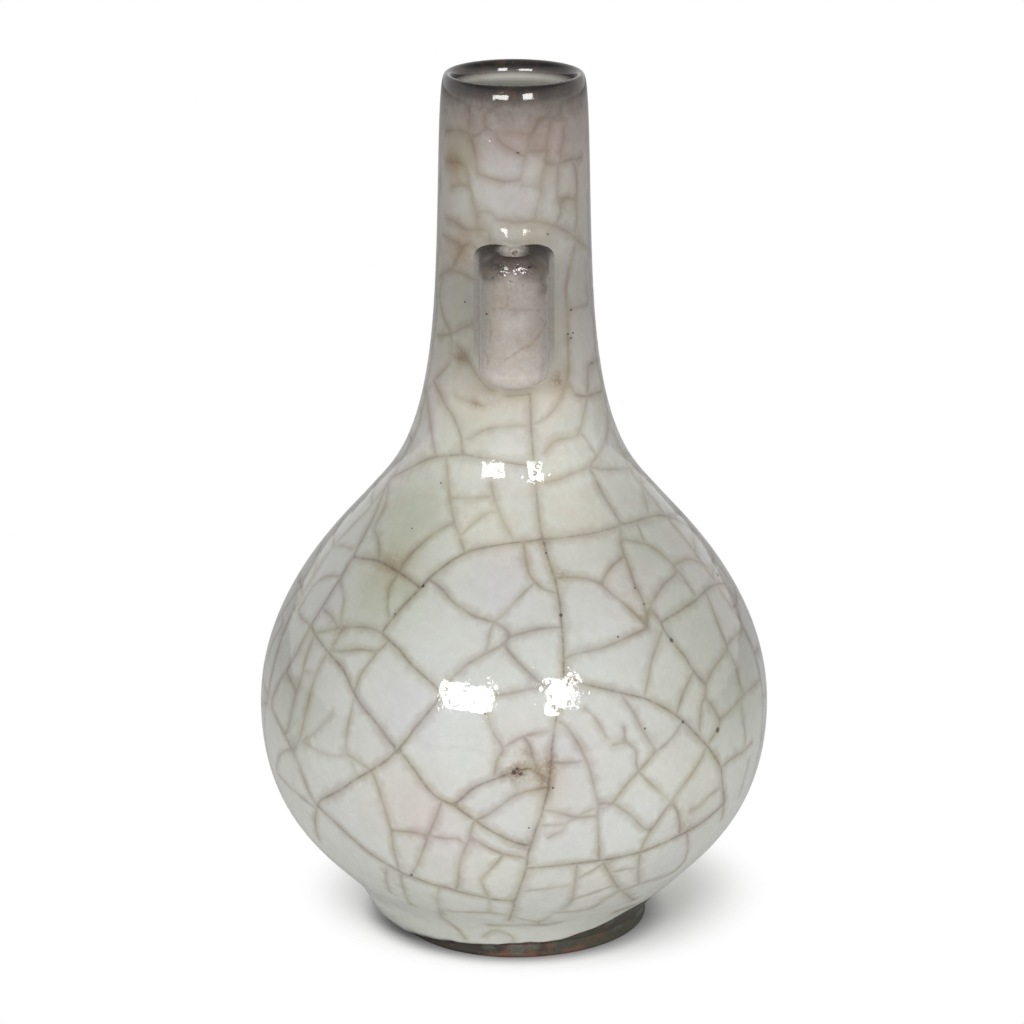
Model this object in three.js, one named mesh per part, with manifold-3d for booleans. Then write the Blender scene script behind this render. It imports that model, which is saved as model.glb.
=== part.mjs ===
// A stoneware bottle vase: a round belly drawn up into a tall neck, with a rounded lip,
// a low turned foot and two hollow lugs luted to the neck, one in front and one behind.
// The potter throws the body in sections and joins them with slip on level faces.
// Millimetres, +Z up, the foot stands on z = 0, the axis is x = 0, y = 0, the front is -Y.

import * as THREE from 'three';
import { mergeVertices } from 'three/addons/utils/BufferGeometryUtils.js';
import Module from 'manifold-3d';

const wasm = await Module();
wasm.setup();

// Outer form. An angle is the lean of the wall from upright, in degrees, outward going up
// where the body opens and inward going up where it closes. A pull is how far the wall
// runs on in its own direction before it bends away.
const vaseHeight = 250;
const footRadius = 36.6;
const footHeight = 3;
const footAngle = 39.2;
const footPull = 23.6;
const bellyRadius = 73.4;
const bellyHeight = 65.4;
const bellyPullDown = 36.2;
const bellyPullUp = 31.3;
const shoulderRadius = 43;
const shoulderHeight = 126.3;
const shoulderAngle = 39.8;
const shoulderPullDown = 9;
const shoulderPullUp = 11.6;
const neckRadius = 22.7;
const neckHeight = 184;
const neckAngle = 3.8;
const neckPullDown = 42.3;
const neckPullUp = 20.7;
const lipRadius = 20.6;
const lipDepth = 7;
const lipAngle = 4.2;
const lipPull = 11.7;

// Wall, measured square to the outer face, and the rounded edge of the mouth.
const footWall = 6;
const bellyWall = 5;
const shoulderWall = 4.5;
const neckWall = 4;
const lipWall = 3.7;
const lipCrownInset = 1.8;
const lipOuterPull = 4.8;
const lipCrownPull = 1.1;
const lipInnerDrop = 3.5;
const lipInnerPull = 2.2;

// Foot and base.
const footWidth = 5.4;
const footBevel = 0.8;
const recessDepth = 5;
const recessRound = 1.2;
const baseThickness = 6;
const floorSweep = 16;
const floorPull = 20;
const floorWallPull = 9.6;

// Lugs: hollow tubes of soft clay, round in front and straight at the sides, leaning
// back with the neck, with rolled ends and a bore for a cord.
const lugTopHeight = 205.6;
const lugLength = 36.5;
const lugWidth = 19.3;
const lugReach = 17.5;
const lugRoundDepth = 9;
const lugSidePull = 5.5;
const lugFrontPull = 6;
const lugTopRoll = 3;
const lugBottomRoll = 4.2;
const lugBoreWidth = 7.4;
const lugBoreDepth = 10.4;
const lugBoreFlare = 1;
const lugBoreWall = 2.6;
const seatGap = 0.3;
const seatMargin = 5;

// Fineness of the faces: segments round the axis, along each outline and on the lugs.
const roundSegments = 60;
const curveSegments = 60;
const recessSegments = 2;
const bowlOuterSegments = 10;
const bowlInnerSegments = 6;
const floorSegments = 4;
const shoulderOuterSegments = 9;
const shoulderInnerSegments = 7;
const neckOuterSegments = 12;
const neckInnerSegments = 8;
const lipOuterSegments = 5;
const lipInnerSegments = 4;
const lugPlanSegments = 7;
const lugRollSegments = 4;
const lugBoreSegments = 24;
const lugSeatSegments = 8;
const sameCorner = 1e-4;

const lipHeight = vaseHeight - lipDepth;
const rad = THREE.MathUtils.degToRad;
const point = (r, z) => new THREE.Vector2(r, z);

// The direction of a wall that leans outward (positive) or inward (negative) going up.
const leaning = (angle) => point(Math.sin(rad(angle)), Math.cos(rad(angle)));

function wallCurve(start, startAngle, startPull, end, endAngle, endPull) {
  const leave = start.clone().addScaledVector(leaning(startAngle), startPull);
  const arrive = end.clone().addScaledVector(leaning(endAngle), -endPull);
  return new THREE.CubicBezierCurve(start, leave, arrive, end);
}

// Half outline of the outside, from the top of the foot to the joint under the lip.
function outsideLine() {
  const foot = point(footRadius, footHeight);
  const belly = point(bellyRadius, bellyHeight);
  const shoulder = point(shoulderRadius, shoulderHeight);
  const neck = point(neckRadius, neckHeight);
  const lip = point(lipRadius, lipHeight);
  const curves = [
    wallCurve(foot, footAngle, footPull, belly, 0, bellyPullDown),
    wallCurve(belly, 0, bellyPullUp, shoulder, -shoulderAngle, shoulderPullDown),
    wallCurve(shoulder, -shoulderAngle, shoulderPullUp, neck, -neckAngle, neckPullDown),
    wallCurve(neck, -neckAngle, neckPullUp, lip, -lipAngle, lipPull),
  ];
  return curves.flatMap((curve, i) => curve.getPoints(curveSegments).slice(i ? 1 : 0));
}

function wallAt(z) {
  const stations = [
    [footHeight, footWall],
    [bellyHeight, bellyWall],
    [shoulderHeight, shoulderWall],
    [neckHeight, neckWall],
    [lipHeight, lipWall],
  ];
  const upper = stations.findIndex(([height]) => z <= height);
  if (upper === -1) return lipWall;
  if (upper === 0) return footWall;
  const [z0, w0] = stations[upper - 1];
  const [z1, w1] = stations[upper];
  return THREE.MathUtils.mapLinear(z, z0, z1, w0, w1);
}

// The inside follows the outside one wall thickness in.
function insideLine(outside) {
  const line = outside.map((here, i) => {
    const before = outside[Math.max(i - 1, 0)];
    const after = outside[Math.min(i + 1, outside.length - 1)];
    const along = after.clone().sub(before).normalize();
    return here.clone().addScaledVector(point(-along.y, along.x), wallAt(here.y));
  });
  return line.filter((here, i) => i === 0 || here.y > line[i - 1].y);
}

function radiusAt(line, z) {
  const upper = line.findIndex((here) => here.y >= z);
  if (upper === -1) return line[line.length - 1].x;
  if (upper === 0) return line[0].x;
  const [a, b] = [line[upper - 1], line[upper]];
  return THREE.MathUtils.mapLinear(z, a.y, b.y, a.x, b.x);
}

// The stretch of a line between two heights, as evenly spaced points.
function stretch(line, low, high, steps) {
  const inner = line.filter((here) => here.y > low && here.y < high);
  const all = [point(radiusAt(line, low), low), ...inner, point(radiusAt(line, high), high)];
  const path = new THREE.CurvePath();
  for (let i = 1; i < all.length; i++) path.add(new THREE.LineCurve(all[i - 1], all[i]));
  return path.getSpacedPoints(steps);
}

// A half outline, listed anticlockwise, spun round the axis.
function spin(outline) {
  const lathe = new THREE.LatheGeometry(outline, roundSegments);
  lathe.rotateX(Math.PI / 2);
  return weld(lathe);
}

// One closed skin: shared corners merged, seam and poles included.
function weld(geometry) {
  geometry.deleteAttribute('normal');
  geometry.deleteAttribute('uv');
  const merged = mergeVertices(geometry, sameCorner);
  const kept = [];
  const index = merged.index.array;
  for (let i = 0; i < index.length; i += 3) {
    const [a, b, c] = [index[i], index[i + 1], index[i + 2]];
    if (a !== b && b !== c && c !== a) kept.push(a, b, c);
  }
  merged.setIndex(kept);
  return merged;
}

function toSolid(geometry) {
  return new wasm.Manifold(new wasm.Mesh({
    numProp: 3,
    vertProperties: new Float32Array(geometry.attributes.position.array),
    triVerts: new Uint32Array(geometry.index.array),
  }));
}

function fromSolid(solid) {
  const mesh = solid.getMesh();
  const geometry = new THREE.BufferGeometry();
  geometry.setAttribute('position', new THREE.Float32BufferAttribute(mesh.vertProperties, 3));
  geometry.setIndex([...mesh.triVerts]);
  return geometry;
}

// A tube of rings, each with as many points as the next, closed by a fan at each end.
function loft(rings) {
  const count = rings[0].length;
  const faces = [];
  for (let ring = 0; ring + 1 < rings.length; ring++) {
    for (let i = 0; i < count; i++) {
      const a = ring * count + i;
      const b = ring * count + ((i + 1) % count);
      faces.push(a, b, b + count, a, b + count, a + count);
    }
  }
  const last = (rings.length - 1) * count;
  for (let i = 1; i + 1 < count; i++) {
    faces.push(0, i + 1, i);
    faces.push(last, last + i, last + i + 1);
  }
  const geometry = new THREE.BufferGeometry();
  const positions = rings.flat().flatMap((corner) => [corner.x, corner.y, corner.z]);
  geometry.setAttribute('position', new THREE.Float32BufferAttribute(positions, 3));
  geometry.setIndex(faces);
  return geometry;
}

const outside = outsideLine();
const inside = insideLine(outside);
const footInnerRadius = footRadius - footWidth;

// The low ring that the vase stands on, turned square and bevelled at both lower edges.
function footRing() {
  return spin([
    point(footInnerRadius, footHeight),
    point(footInnerRadius, footBevel),
    point(footInnerRadius + footBevel, 0),
    point(footRadius - footBevel, 0),
    point(footRadius, footBevel),
    point(footRadius, footHeight),
    point(footInnerRadius, footHeight),
  ]);
}

// The recess under the base has a rounded corner where its wall meets the underside.
function recessOutline() {
  const round = Math.min(recessRound, recessDepth - footHeight);
  const centre = point(footInnerRadius - round, recessDepth - round);
  const corner = new THREE.EllipseCurve(centre.x, centre.y, round, round, Math.PI / 2, 0, true);
  return [
    point(0, recessDepth),
    ...corner.getPoints(recessSegments),
    point(footInnerRadius, footHeight),
  ];
}

// The bowl: base, recess and the lower half of the belly up to its widest line.
function lowerBody() {
  const floorHeight = recessDepth + baseThickness;
  const sweepTop = floorHeight + floorSweep;
  const innerWall = stretch(inside, sweepTop, bellyHeight, bowlInnerSegments).reverse();
  const meet = innerWall[innerWall.length - 1];
  const along = meet.clone().sub(innerWall[innerWall.length - 2]).normalize();
  const floor = new THREE.CubicBezierCurve(
    meet,
    meet.clone().addScaledVector(along, floorWallPull),
    point(floorPull, floorHeight),
    point(0, floorHeight),
  );
  return spin([
    ...recessOutline(),
    ...stretch(outside, footHeight, bellyHeight, bowlOuterSegments),
    ...innerWall,
    ...floor.getPoints(floorSegments).slice(1),
  ]);
}

// A hollow section of the body between two level joints.
function bodySection(low, high, outerSteps, innerSteps) {
  const outer = stretch(outside, low, high, outerSteps);
  const inner = stretch(inside, low, high, innerSteps).reverse();
  return spin([...outer, ...inner, outer[0]]);
}

function upperBody() {
  return bodySection(bellyHeight, shoulderHeight, shoulderOuterSegments, shoulderInnerSegments);
}

function neck() {
  return bodySection(shoulderHeight, lipHeight, neckOuterSegments, neckInnerSegments);
}

// The rounded edge of the mouth, from the joint up over the crown and down inside.
function mouthRim() {
  const innerRadius = radiusAt(inside, lipHeight);
  const foot = point(lipRadius, lipHeight);
  const crown = point(lipRadius - lipCrownInset, vaseHeight);
  const innerTop = point(innerRadius, vaseHeight - lipInnerDrop);
  const outerRoll = new THREE.CubicBezierCurve(
    foot,
    foot.clone().addScaledVector(leaning(-lipAngle), lipOuterPull),
    point(crown.x + lipCrownPull, crown.y),
    crown,
  );
  const innerRoll = new THREE.CubicBezierCurve(
    crown,
    point(crown.x - lipCrownPull, crown.y),
    point(innerTop.x, innerTop.y + lipInnerPull),
    innerTop,
  );
  return spin([
    ...outerRoll.getPoints(lipOuterSegments),
    ...innerRoll.getPoints(lipInnerSegments).slice(1),
    point(innerRadius, lipHeight),
    foot,
  ]);
}

// Plan of a lug seen from above, drawn in by an inset: the straight sides start inside
// the neck and the front is a flattened round.
function lugPlan(back, front, inset) {
  const half = lugWidth / 2 - inset;
  const tip = front - inset;
  const turn = front - lugRoundDepth;
  const sidePull = lugSidePull - inset;
  const frontPull = lugFrontPull - inset / 2;
  const plan = new THREE.Shape();
  plan.moveTo(-half, back);
  plan.lineTo(half, back);
  plan.lineTo(half, turn);
  plan.bezierCurveTo(half, turn + sidePull, frontPull, tip, 0, tip);
  plan.bezierCurveTo(-frontPull, tip, -half, turn + sidePull, -half, turn);
  return plan.getPoints(lugPlanSegments);
}

const lugBottomHeight = lugTopHeight - lugLength;
const seatRadiusTop = radiusAt(outside, lugTopHeight);
const seatRadiusBottom = radiusAt(outside, lugBottomHeight);

// How far out of the axis the neck's face stands at a height, taken straight along the lug.
function seatRadius(z) {
  return THREE.MathUtils.mapLinear(
    z, lugBottomHeight, lugTopHeight, seatRadiusBottom, seatRadiusTop,
  );
}

const quarterTurn = Array.from(
  { length: lugRollSegments + 1 },
  (_, i) => (i / lugRollSegments) * Math.PI / 2,
);

// The outside of a lug on the +Y side: it follows the neck's lean, its ends are level and
// rolled over, and its back reaches into the neck to be cut to it.
function lugBlock() {
  const ring = (z, inset) => {
    const seat = seatRadius(z);
    return lugPlan(seat - neckWall, seat + lugReach, inset).map(
      (corner) => new THREE.Vector3(corner.x, corner.y, z),
    );
  };
  const bottom = quarterTurn.map((turn) => ring(
    lugBottomHeight + lugBottomRoll * (1 - Math.cos(turn)),
    lugBottomRoll * (1 - Math.sin(turn)),
  ));
  const top = quarterTurn.map((turn) => ring(
    lugTopHeight - lugTopRoll * (1 - Math.sin(turn)),
    lugTopRoll * (1 - Math.cos(turn)),
  ));
  return loft([...bottom, ...top]);
}

// The bore of a lug, an upright oval that opens out at both ends and runs past them.
function lugBore() {
  const ring = (z, flare) => Array.from({ length: lugBoreSegments }, (_, i) => {
    const angle = (i / lugBoreSegments) * 2 * Math.PI;
    const centre = seatRadius(z) + lugBoreWall + lugBoreDepth / 2;
    return new THREE.Vector3(
      Math.cos(angle) * (lugBoreWidth / 2 + flare),
      centre + Math.sin(angle) * (lugBoreDepth / 2 + flare),
      z,
    );
  });
  const opening = (turn) => lugBoreFlare * (1 - Math.sin(turn));
  const rise = (turn) => lugBoreFlare * (1 - Math.cos(turn));
  const bottom = quarterTurn.map((turn) => ring(lugBottomHeight + rise(turn), opening(turn)));
  const top = quarterTurn.map((turn) => ring(lugTopHeight - rise(turn), opening(turn)));
  return loft([
    ring(lugBottomHeight - lugBoreFlare, lugBoreFlare),
    ...bottom,
    ...top.reverse(),
    ring(lugTopHeight + lugBoreFlare, lugBoreFlare),
  ]);
}

// The neck's outer face with the seat's gap added, past both ends of a lug.
function seatCutter() {
  const low = Math.max(lugBottomHeight - seatMargin, shoulderHeight);
  const high = Math.min(lugTopHeight + seatMargin, lipHeight);
  const face = stretch(outside, low, high, lugSeatSegments).map((here) => point(here.x + seatGap, here.y));
  return spin([point(0, low), ...face, point(0, high)]);
}

function lug() {
  const tube = toSolid(lugBlock()).subtract(toSolid(lugBore()));
  return fromSolid(tube.subtract(toSolid(seatCutter())));
}

const glaze = { color: '#c6c8be', roughness: 0.16, metalness: 0 };
const neckGlaze = { color: '#a5a89d', roughness: 0.18, metalness: 0 };
const thinGlaze = { color: '#5a504b', roughness: 0.25, metalness: 0 };
const lugGlaze = { color: '#a39b94', roughness: 0.2, metalness: 0 };
const bareStoneware = { color: '#6a5142', roughness: 0.75, metalness: 0 };

const vase = new THREE.Group();

function addPiece(name, geometry, finish) {
  geometry.computeVertexNormals();
  const piece = new THREE.Mesh(geometry, new THREE.MeshStandardMaterial(finish));
  piece.name = name;
  vase.add(piece);
  return piece;
}

addPiece('foot_ring', footRing(), bareStoneware);
addPiece('lower_body', lowerBody(), glaze);
addPiece('upper_body', upperBody(), glaze);
addPiece('neck', neck(), neckGlaze);
addPiece('mouth_rim', mouthRim(), thinGlaze);
const lugShape = lug();
addPiece('lug_rear', lugShape, lugGlaze);
addPiece('lug_front', lugShape, lugGlaze).rotation.z = Math.PI;

export default vase;
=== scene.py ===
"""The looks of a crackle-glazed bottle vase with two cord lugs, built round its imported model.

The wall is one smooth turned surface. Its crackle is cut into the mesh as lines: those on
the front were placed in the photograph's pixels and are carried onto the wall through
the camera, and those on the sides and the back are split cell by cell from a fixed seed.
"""

import math
import random
from functools import lru_cache

import bpy
import numpy as np
from bpy.props import FloatProperty, FloatVectorProperty, IntProperty, PointerProperty
from bpy.types import Operator, Panel, PropertyGroup
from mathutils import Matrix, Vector, noise
from mathutils.bvhtree import BVHTree
from mathutils.geometry import delaunay_2d_cdt
from mathutils.kdtree import KDTree


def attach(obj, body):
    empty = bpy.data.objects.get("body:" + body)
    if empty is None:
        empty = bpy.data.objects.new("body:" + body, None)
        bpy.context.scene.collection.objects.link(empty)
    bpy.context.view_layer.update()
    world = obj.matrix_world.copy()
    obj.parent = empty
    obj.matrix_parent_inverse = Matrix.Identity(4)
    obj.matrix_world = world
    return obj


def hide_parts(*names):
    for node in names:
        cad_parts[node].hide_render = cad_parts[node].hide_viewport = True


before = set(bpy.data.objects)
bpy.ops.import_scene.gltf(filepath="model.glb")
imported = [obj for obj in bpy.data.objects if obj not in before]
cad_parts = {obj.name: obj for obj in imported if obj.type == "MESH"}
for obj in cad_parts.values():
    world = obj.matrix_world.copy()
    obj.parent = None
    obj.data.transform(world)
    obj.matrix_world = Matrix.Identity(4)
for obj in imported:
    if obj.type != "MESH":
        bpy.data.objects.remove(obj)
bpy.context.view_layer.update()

bl_info = {
    "name": "Crackled bottle vase",
    "version": (1, 0, 0),
    "blender": (4, 5, 0),
    "location": "3D View > Sidebar > Vase",
    "description": "Builds a crackle-glazed bottle vase with two cord lugs",
    "category": "Object",
}

MM = 0.001

# The photograph's frame, and the vase's axis in it.
PHOTO_PIXELS = 1024
FOCAL_PIXELS = 4556.0
AXIS_PIXEL = 514.0
MIDDLE_PIXEL = 512.0

PIXEL = 0.275 * MM  # what one pixel spans on the wall
LUG_PIXEL = 0.27 * MM  # and on the lug
IRON_SPAN, LUG_IRON_SPAN = 0.25, 0.26  # millimetres to a pixel for the size of iron spots

# The kinds of crack: first, deep ones, finer ones that came later, and ones that hardly took
# stain.
DARK, BROWN, FAINT = KINDS = ("dark", "brown", "faint")

# The crackle in the photograph, read off it line by line in its pixels, each line after its
# kind: shoulder, belly, foot and neck.

CRACKS = """
dark 391,477 400,473 410,468 420,462.5 430,458.5 437,456.5 446,456 462,454.5 472,456 492,459.5 510,463 534,466.5
dark 433,380 437,388 441,395 445,404 454,418 460,434 461.5,441 462,454.5
brown 425.5,384 428,405 432,435 436,456
dark 391,477 386,486 380,501 374,516 367,530 359,545 353,557 346,568 339.5,580 332,591 325,603 318,614 311,625
brown 391,482 386,502 380,517 374,528 378,539 379.5,552 378,560
dark 353,557 367,559 377,560.5 390,567 400,573 410,580 420,587.5
brown 446,456 448,478 450,500 454,520 459,535 465,553
brown 455,523 441,529 427,539 413,552 403,564 400,572
faint 400,572 395,579 390,586 388.5,593 388,610 390,620
faint 450,498 470,498 489,496.5
brown 491,483 494,497 499,511 505,525 511,536 514,542
faint 462,440 471,438 480,432 490,428.5 500,427 515,426 531,425.5
faint 568,380 574,391 576,396
dark 572,396 586,396.5 594,394 601,391.5
brown 598,360 593,363 588,367 588,385 586,404 582.5,420 578,434 570,438 562,439 555,441 549,447 544,453
faint 580,432 585,438 590,446 597,456
brown 607,418 608,428 604,444 597,456 589,467
brown 589,467 575,472.5 560,479 545,483
dark 589,467 594,476 603,494 612,509 618,519 622,525
brown 589,467 600,469 620,469 637,467
brown 637,467 641,480 645,500 650,516.5
dark 507,396 523,395 531,393.5
brown 529,394 529,404
faint 455,395 470,402 484,406
dark 530,393 531,425 533,452 534,465 536,487 538,510 540.5,530 543,539 547,555 551,568 555,579 557.5,592 560,604
561,620 562.5,633 563.5,650 563.5,672 561,690 558,708 556,720 554,732 552,748 551,764 549.5,777 548,790 546,798
543.5,807 541,817 538,824 535,832 533,840 531,846 529,851 527.5,858 526.5,868 524,876 521,884 518,893 515,901 513,910
509,920
dark 543,539 530,541 515,542.5 505,544 487,547 470,551 457,557.5 445,565.5 434,574 424,584 415,594 403,606 396,614.5
388,624 382,633
dark 382,633 390,641 399,649 405,657 413,666 424,676 433,684 439,692 437,701 429,711 421,721 414,729 408,738 401,746
397,750
dark 543,539 555,538.5 571,536.5 590,534 605,530 622,525 636,521 650,516.5 658,515.5 666,516 680,521.5 697,533
brown 620,526 621,535 620,541 625,556 630,570 635,585 640,594 644,604 646.5,614 648,628
brown 620,538 631,541 645,544 657,550.5 668,560 678,570.5 686,582 693,592 697,598
faint 636,522 642,535 645,543
brown 624,556 612,566 604,578 602,585
brown 555,578 571,577.3 588,579 602,585
brown 602,585 614,596 627,606 640,619 648,628
brown 648,628 641,631 626,638 610,645 602,648 594,650 580,653 572,655 564,659
brown 678,571 670,579 665,583 657,594 652,603 650,608.5 657,616 661,621
brown 523,542 525.5,556 528,571 535,582 545,589.5 558,593
faint 535,582 525,592 513,604 502,616 494,622
brown 429,579 442,589 451,600 463,609 474,616 488,620.5 494,622 505,629 511,636
brown 511,636 521,633.5 536,629.5 553,627.5 562,627
brown 511,636 503,644 495,649 486,653 477,659 467,664 460,671 452,678 446,685 439,693
faint 494,622 490,632 488,643 486,652
faint 462,536 474,523 488,513 500,512
faint 335,546 341,545.5 348,547.5 356,550
faint 340,575.5 331,576 325,577 317,582 311,589 307,596 301,606 298,610
brown 676,563 687,559 699,562 705,565
dark 724,583 717,584 711,586.5 705,591 697,599 687,606 678,612 668,618 661,622.5
brown 721,577 724,583 731,592 737,608 743,629
brown 705,591 710,602 715,616 720,629 727,646
brown 743,629 733,638 727,647 733,659 737,671 740,684 744,694
brown 745,630 750,643 755,657 759,679 752,687 744,695 734,706 727,714 720,720 719,728 714,735 708,745
brown 297,606 299,614 304,620 311,625
dark 311,625 315,634 321,643 328,652 337,662 344,671 349,682 354,693 360,703 366,711 374,720 381,729 388,739 397,750
brown 309,627 303,640 297,653 289,666 286,671 282,677 277,687 273,697 272,708 276,717 283,731 288,741 293,752
brown 286,671 292,683 296,693
brown 314,635 308,652 304,666 301,679 296,694 292,710 289,725 286,735
brown 328,652 321,664 316,675 311,690 308,704 306,711 303,725 300,737 296,747 293,752
faint 304,671 310,672 315,674
brown 322,608 331,616 336,623 338,628
faint 341,580 344,598 342,613 340,628
brown 316,633 330,630 343,628 356,627 370,628 382,633
brown 343,630 336,641 332,649 328,652
brown 330,652 345,651 360,649.5 378,651
brown 389,640 385,645 378,652 369,663 361,674 357,684 354,693
faint 301,740 310,746 322,753 335,755.5 347,754.5
brown 347,754.5 356,760 366,767 372,771
faint 353,696 350,717 347,732 346,747 347,754.5
faint 333,707 332,714 322,725 312,735 303,739
faint 350,757 355,770 357,777
brown 504,645 512,655 521,665 530,673.5 541,683 561,689
brown 492,696 507,694 522,691 535,688 561,685
brown 487,713 490,724 495,736 503,749 497,760 495,772 494,779
faint 503,748 516,740 532,734 553,731
brown 524,738 530,746 533,758 537,768
brown 530,771 542,776 549,779
brown 556,720 565,725 574,737 580,747 586,760 590,770 593.5,785 597,798 598,802
faint 551.5,762.5 563,763 576,762 586,760
brown 656,751 647,762 636,774 627,784 618,796 613,804
faint 640,773 650,783 659,791 668,800
dark 563.5,678 577,681 588,685 600,688 614,691 628,694.5 645,698.5 655,703 668,710 682,720 693,731 707,746 713,754
721,768 722,779 724,798 724,805
brown 621,693 626,702 634,713 641,727 650,742 656,751
brown 662,629 657,645 651,663 648,680 644,697
dark 661,622 664,630 672,641 685,657 692,669 701,680 706,685
brown 706,685 705,696 702,703 700,718 699.5,730
brown 706,697 713,707 720,720
brown 727,648 722,657 713,669 706,684
brown 691,674 685,689 679,706 676,716
brown 707,746 700,761 691,775 681,788 671,802 661,816 651,831
faint 656,751 666,744 677,731 682,721
faint 741,697 742,712 745,732 744,748
brown 752,742 744,751 731,759 722,768
faint 749,760 745,776 739,797
faint 720,787 711,794 699,806 690,811
faint 585,708 597,720 606,736
faint 624,728 626,741 636,750 636,762
faint 613,745 626,742
dark 397,750 387,760 375,768 367,773 354,780 345,787 331,795 321,800 317,806
brown 293,752 299,765 304,779 309,792 317,806 315,818 316,830 319,840
dark 317,806 327,815 340,827 354,840 367,851 380,860
faint 293,750 285,751 279,757 277,764 275,771
faint 277,773 289,786 300,796 314,809
brown 372,771 377,784 381,797 385,809 388.5,822 391.5,833 393,846 396,858 400,870
dark 397,750 404,756 411,765 418,775 425,785 433,794 442,800 453,805 463,812 475,820 483,826 493,832 505,838 516,843
526,845 531,846
brown 391,830 405,831.5 418,833 428,837
faint 431,836 443,838.5 457,838.5 467,845
dark 453,805 461,799 471,790 481,784.5 491,780.5 500,777 510,773.5 518,771 527,768.5 532,767
brown 476,820 489,814 499,807 514,796 526,791.5 538,789 548,787
faint 510,777 517,788 519,794
brown 543,810 557,812 570,816 577,817.5 590,816.5 598,816
faint 577,817.5 569,821
faint 598,809 590,810 583,813
brown 598,802 598,817 598.5,835 599,860
brown 598,802 610,804 616,805 625,811 634,818 642,827 651,831
brown 651,831 645,840 641,850 639,861 638.5,873 639,884
brown 672,802 678,813 680,828 680,836
faint 687,832 688,848 684,861 677,868
brown 724,805 722,818
dark 380,860 388,865 398,870 404,874 413,877 424,881.5 436,885.5 448,888 463,893 480,896.5 494,899.5 515,901
brown 442,801 436,817 431,829 428,837 424,848 418,863 411,875
brown 474,820 471,831 468,842 462,856 459,869 458,883 456,889
brown 470,836 482,844 494,850.5 507,855 519,856.5 527,859
faint 503,856 493,867 483,877 482,882 485,890 489,897
dark 526.5,868 543,867 563,865 580,863 599,860.5 612,858.5 625,856 641,852 654,847 666,842 678,836 690,830 703,821.5
713,813.5 724,804
brown 602,861 609,873 616,885 623,892 634,900
brown 577,864 575.5,879 573.5,892 572,900
faint 578,880 592,871 603,863
faint 520,893 530,890.5 550,888.5 567,885.5 576,884
faint 573,899 587,895 601,890 616,884
brown 556,913 575,911 592,908 605,899 617,892.5 627,889 638,884.5 652,880 665,876 676,870 685,866
faint 610,872 625,869.5 638,868
faint 540,826 556,825 565,825
faint 548,838 562,831
faint 387,866 386,875 387.5,886 391,893
faint 401,872 402,884 407,898 411,905
faint 440,887 438,893 437,900 440,911
faint 440,911 462,912 490,913 508,915.5 522,919 540,921.5 550,916 562,910 572,900
faint 489,899 490,913
faint 440,911 443,918 456,927 466,937
faint 484,936 491,931 498,930.5 510,935 514,941
dark 615,911.5 626,907.5 635,904
faint 489,925 505,925.5 520,925 535,925 548,924.5 560,922
faint 531,425.5 545,418.5 558,404 565,388 568.5,372 568,352 568,325 567,306 566,290 569,270 574,250 575,241
brown 540,222 556,226 569,233 577,240 588,249
faint 589,249 586,265 587,290 588,304 575,308 567,311
faint 441,315 450,332 452,345 450,362 441,373 433,381
brown 476,322 462,328 451,334 437,335
brown 457,345 465,355 471,365 479,378 488,388 494,391
brown 452,354 459,358.5 467,361
faint 450,270 461,273 476,281
faint 450,270 441,282 440,300 443,318
faint 434,383 427,389 425.5,396
faint 443,235 453,241
brown 478,174 487,177 495,179.5 503,181.5 511,181.5 520,179.5
faint 520,179.5 523,170 524,160 526,153 528,145 530,136 536,127 538,119
brown 497,138 501,143 507,147 513,150 518,153.5 525,156
faint 549,103 550,112 550.5,118 549,130 547.5,140 547,150
brown 547,150 546,158 546,163 552,164 560,163 568,160 576,159 582,157
faint 546,163 544,170 541,178 540.5,187
brown 540.5,187 541,196 538,203 536,212 535.5,221
brown 503,220 510,222 520,222.5 530,221.5 540,222
faint 523,186 530,186 540.5,187
faint 477,213 486,211 492,213 497,219 503,220
brown 447,218 452,220 457,223 463,228 470,230 478,229 485,229.5 489,232 490,240
faint 468,176 470,187 472,195 473,203 476,210 477,220 478,229
faint 452,187 460,185 468,186
faint 564,128 563,140 561,150 560,162
faint 557,163 558,175 557,188 558,200 561,211 557,222 556,226
faint 558,200 567,198 576,200
faint 572,160 576,172 577,190 576,205 577,220 574,236
brown 446,131 455,130 462,130.5 468,133 471,139 474,148 476,158 477,168 478,174
faint 468,98 469,108 469.5,120 468,133
faint 485,112 486,126 497,133 505,131 515,133 525,134 530,136
faint 497,133 497,138
faint 528,150 536,151 547,150
faint 538,119 548,117 550.5,118
faint 550.5,118 560,116 566,119
brown 447,161 455,162 463,164 467,169 468,176
faint 470,137 479,134 486,126
faint 446,240 452,240 458,243 463,247 470,244 477,249
faint 452,269 457,258 463,247
brown 437,281 443,274 452,269
faint 587,364 588,375 588,388
faint 505,102 506,110 520,111 530,109
"""

# Faint lines on the front lug's face, in the photograph's pixels.
LUG_CRACKS = """
faint 490,309 503,308.5 516,309 528,310 540,310.5
faint 505,360 515,354 520,350 525,346.5 531,345 538,335 545,326 548,318
faint 540,318 545,324 549,330
faint 531,345 536,340 540,336
faint 490,320 491,332 490,345
faint 505,283 506,292 508,300 506,308
faint 485,352 488,360 487,368
"""

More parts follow.
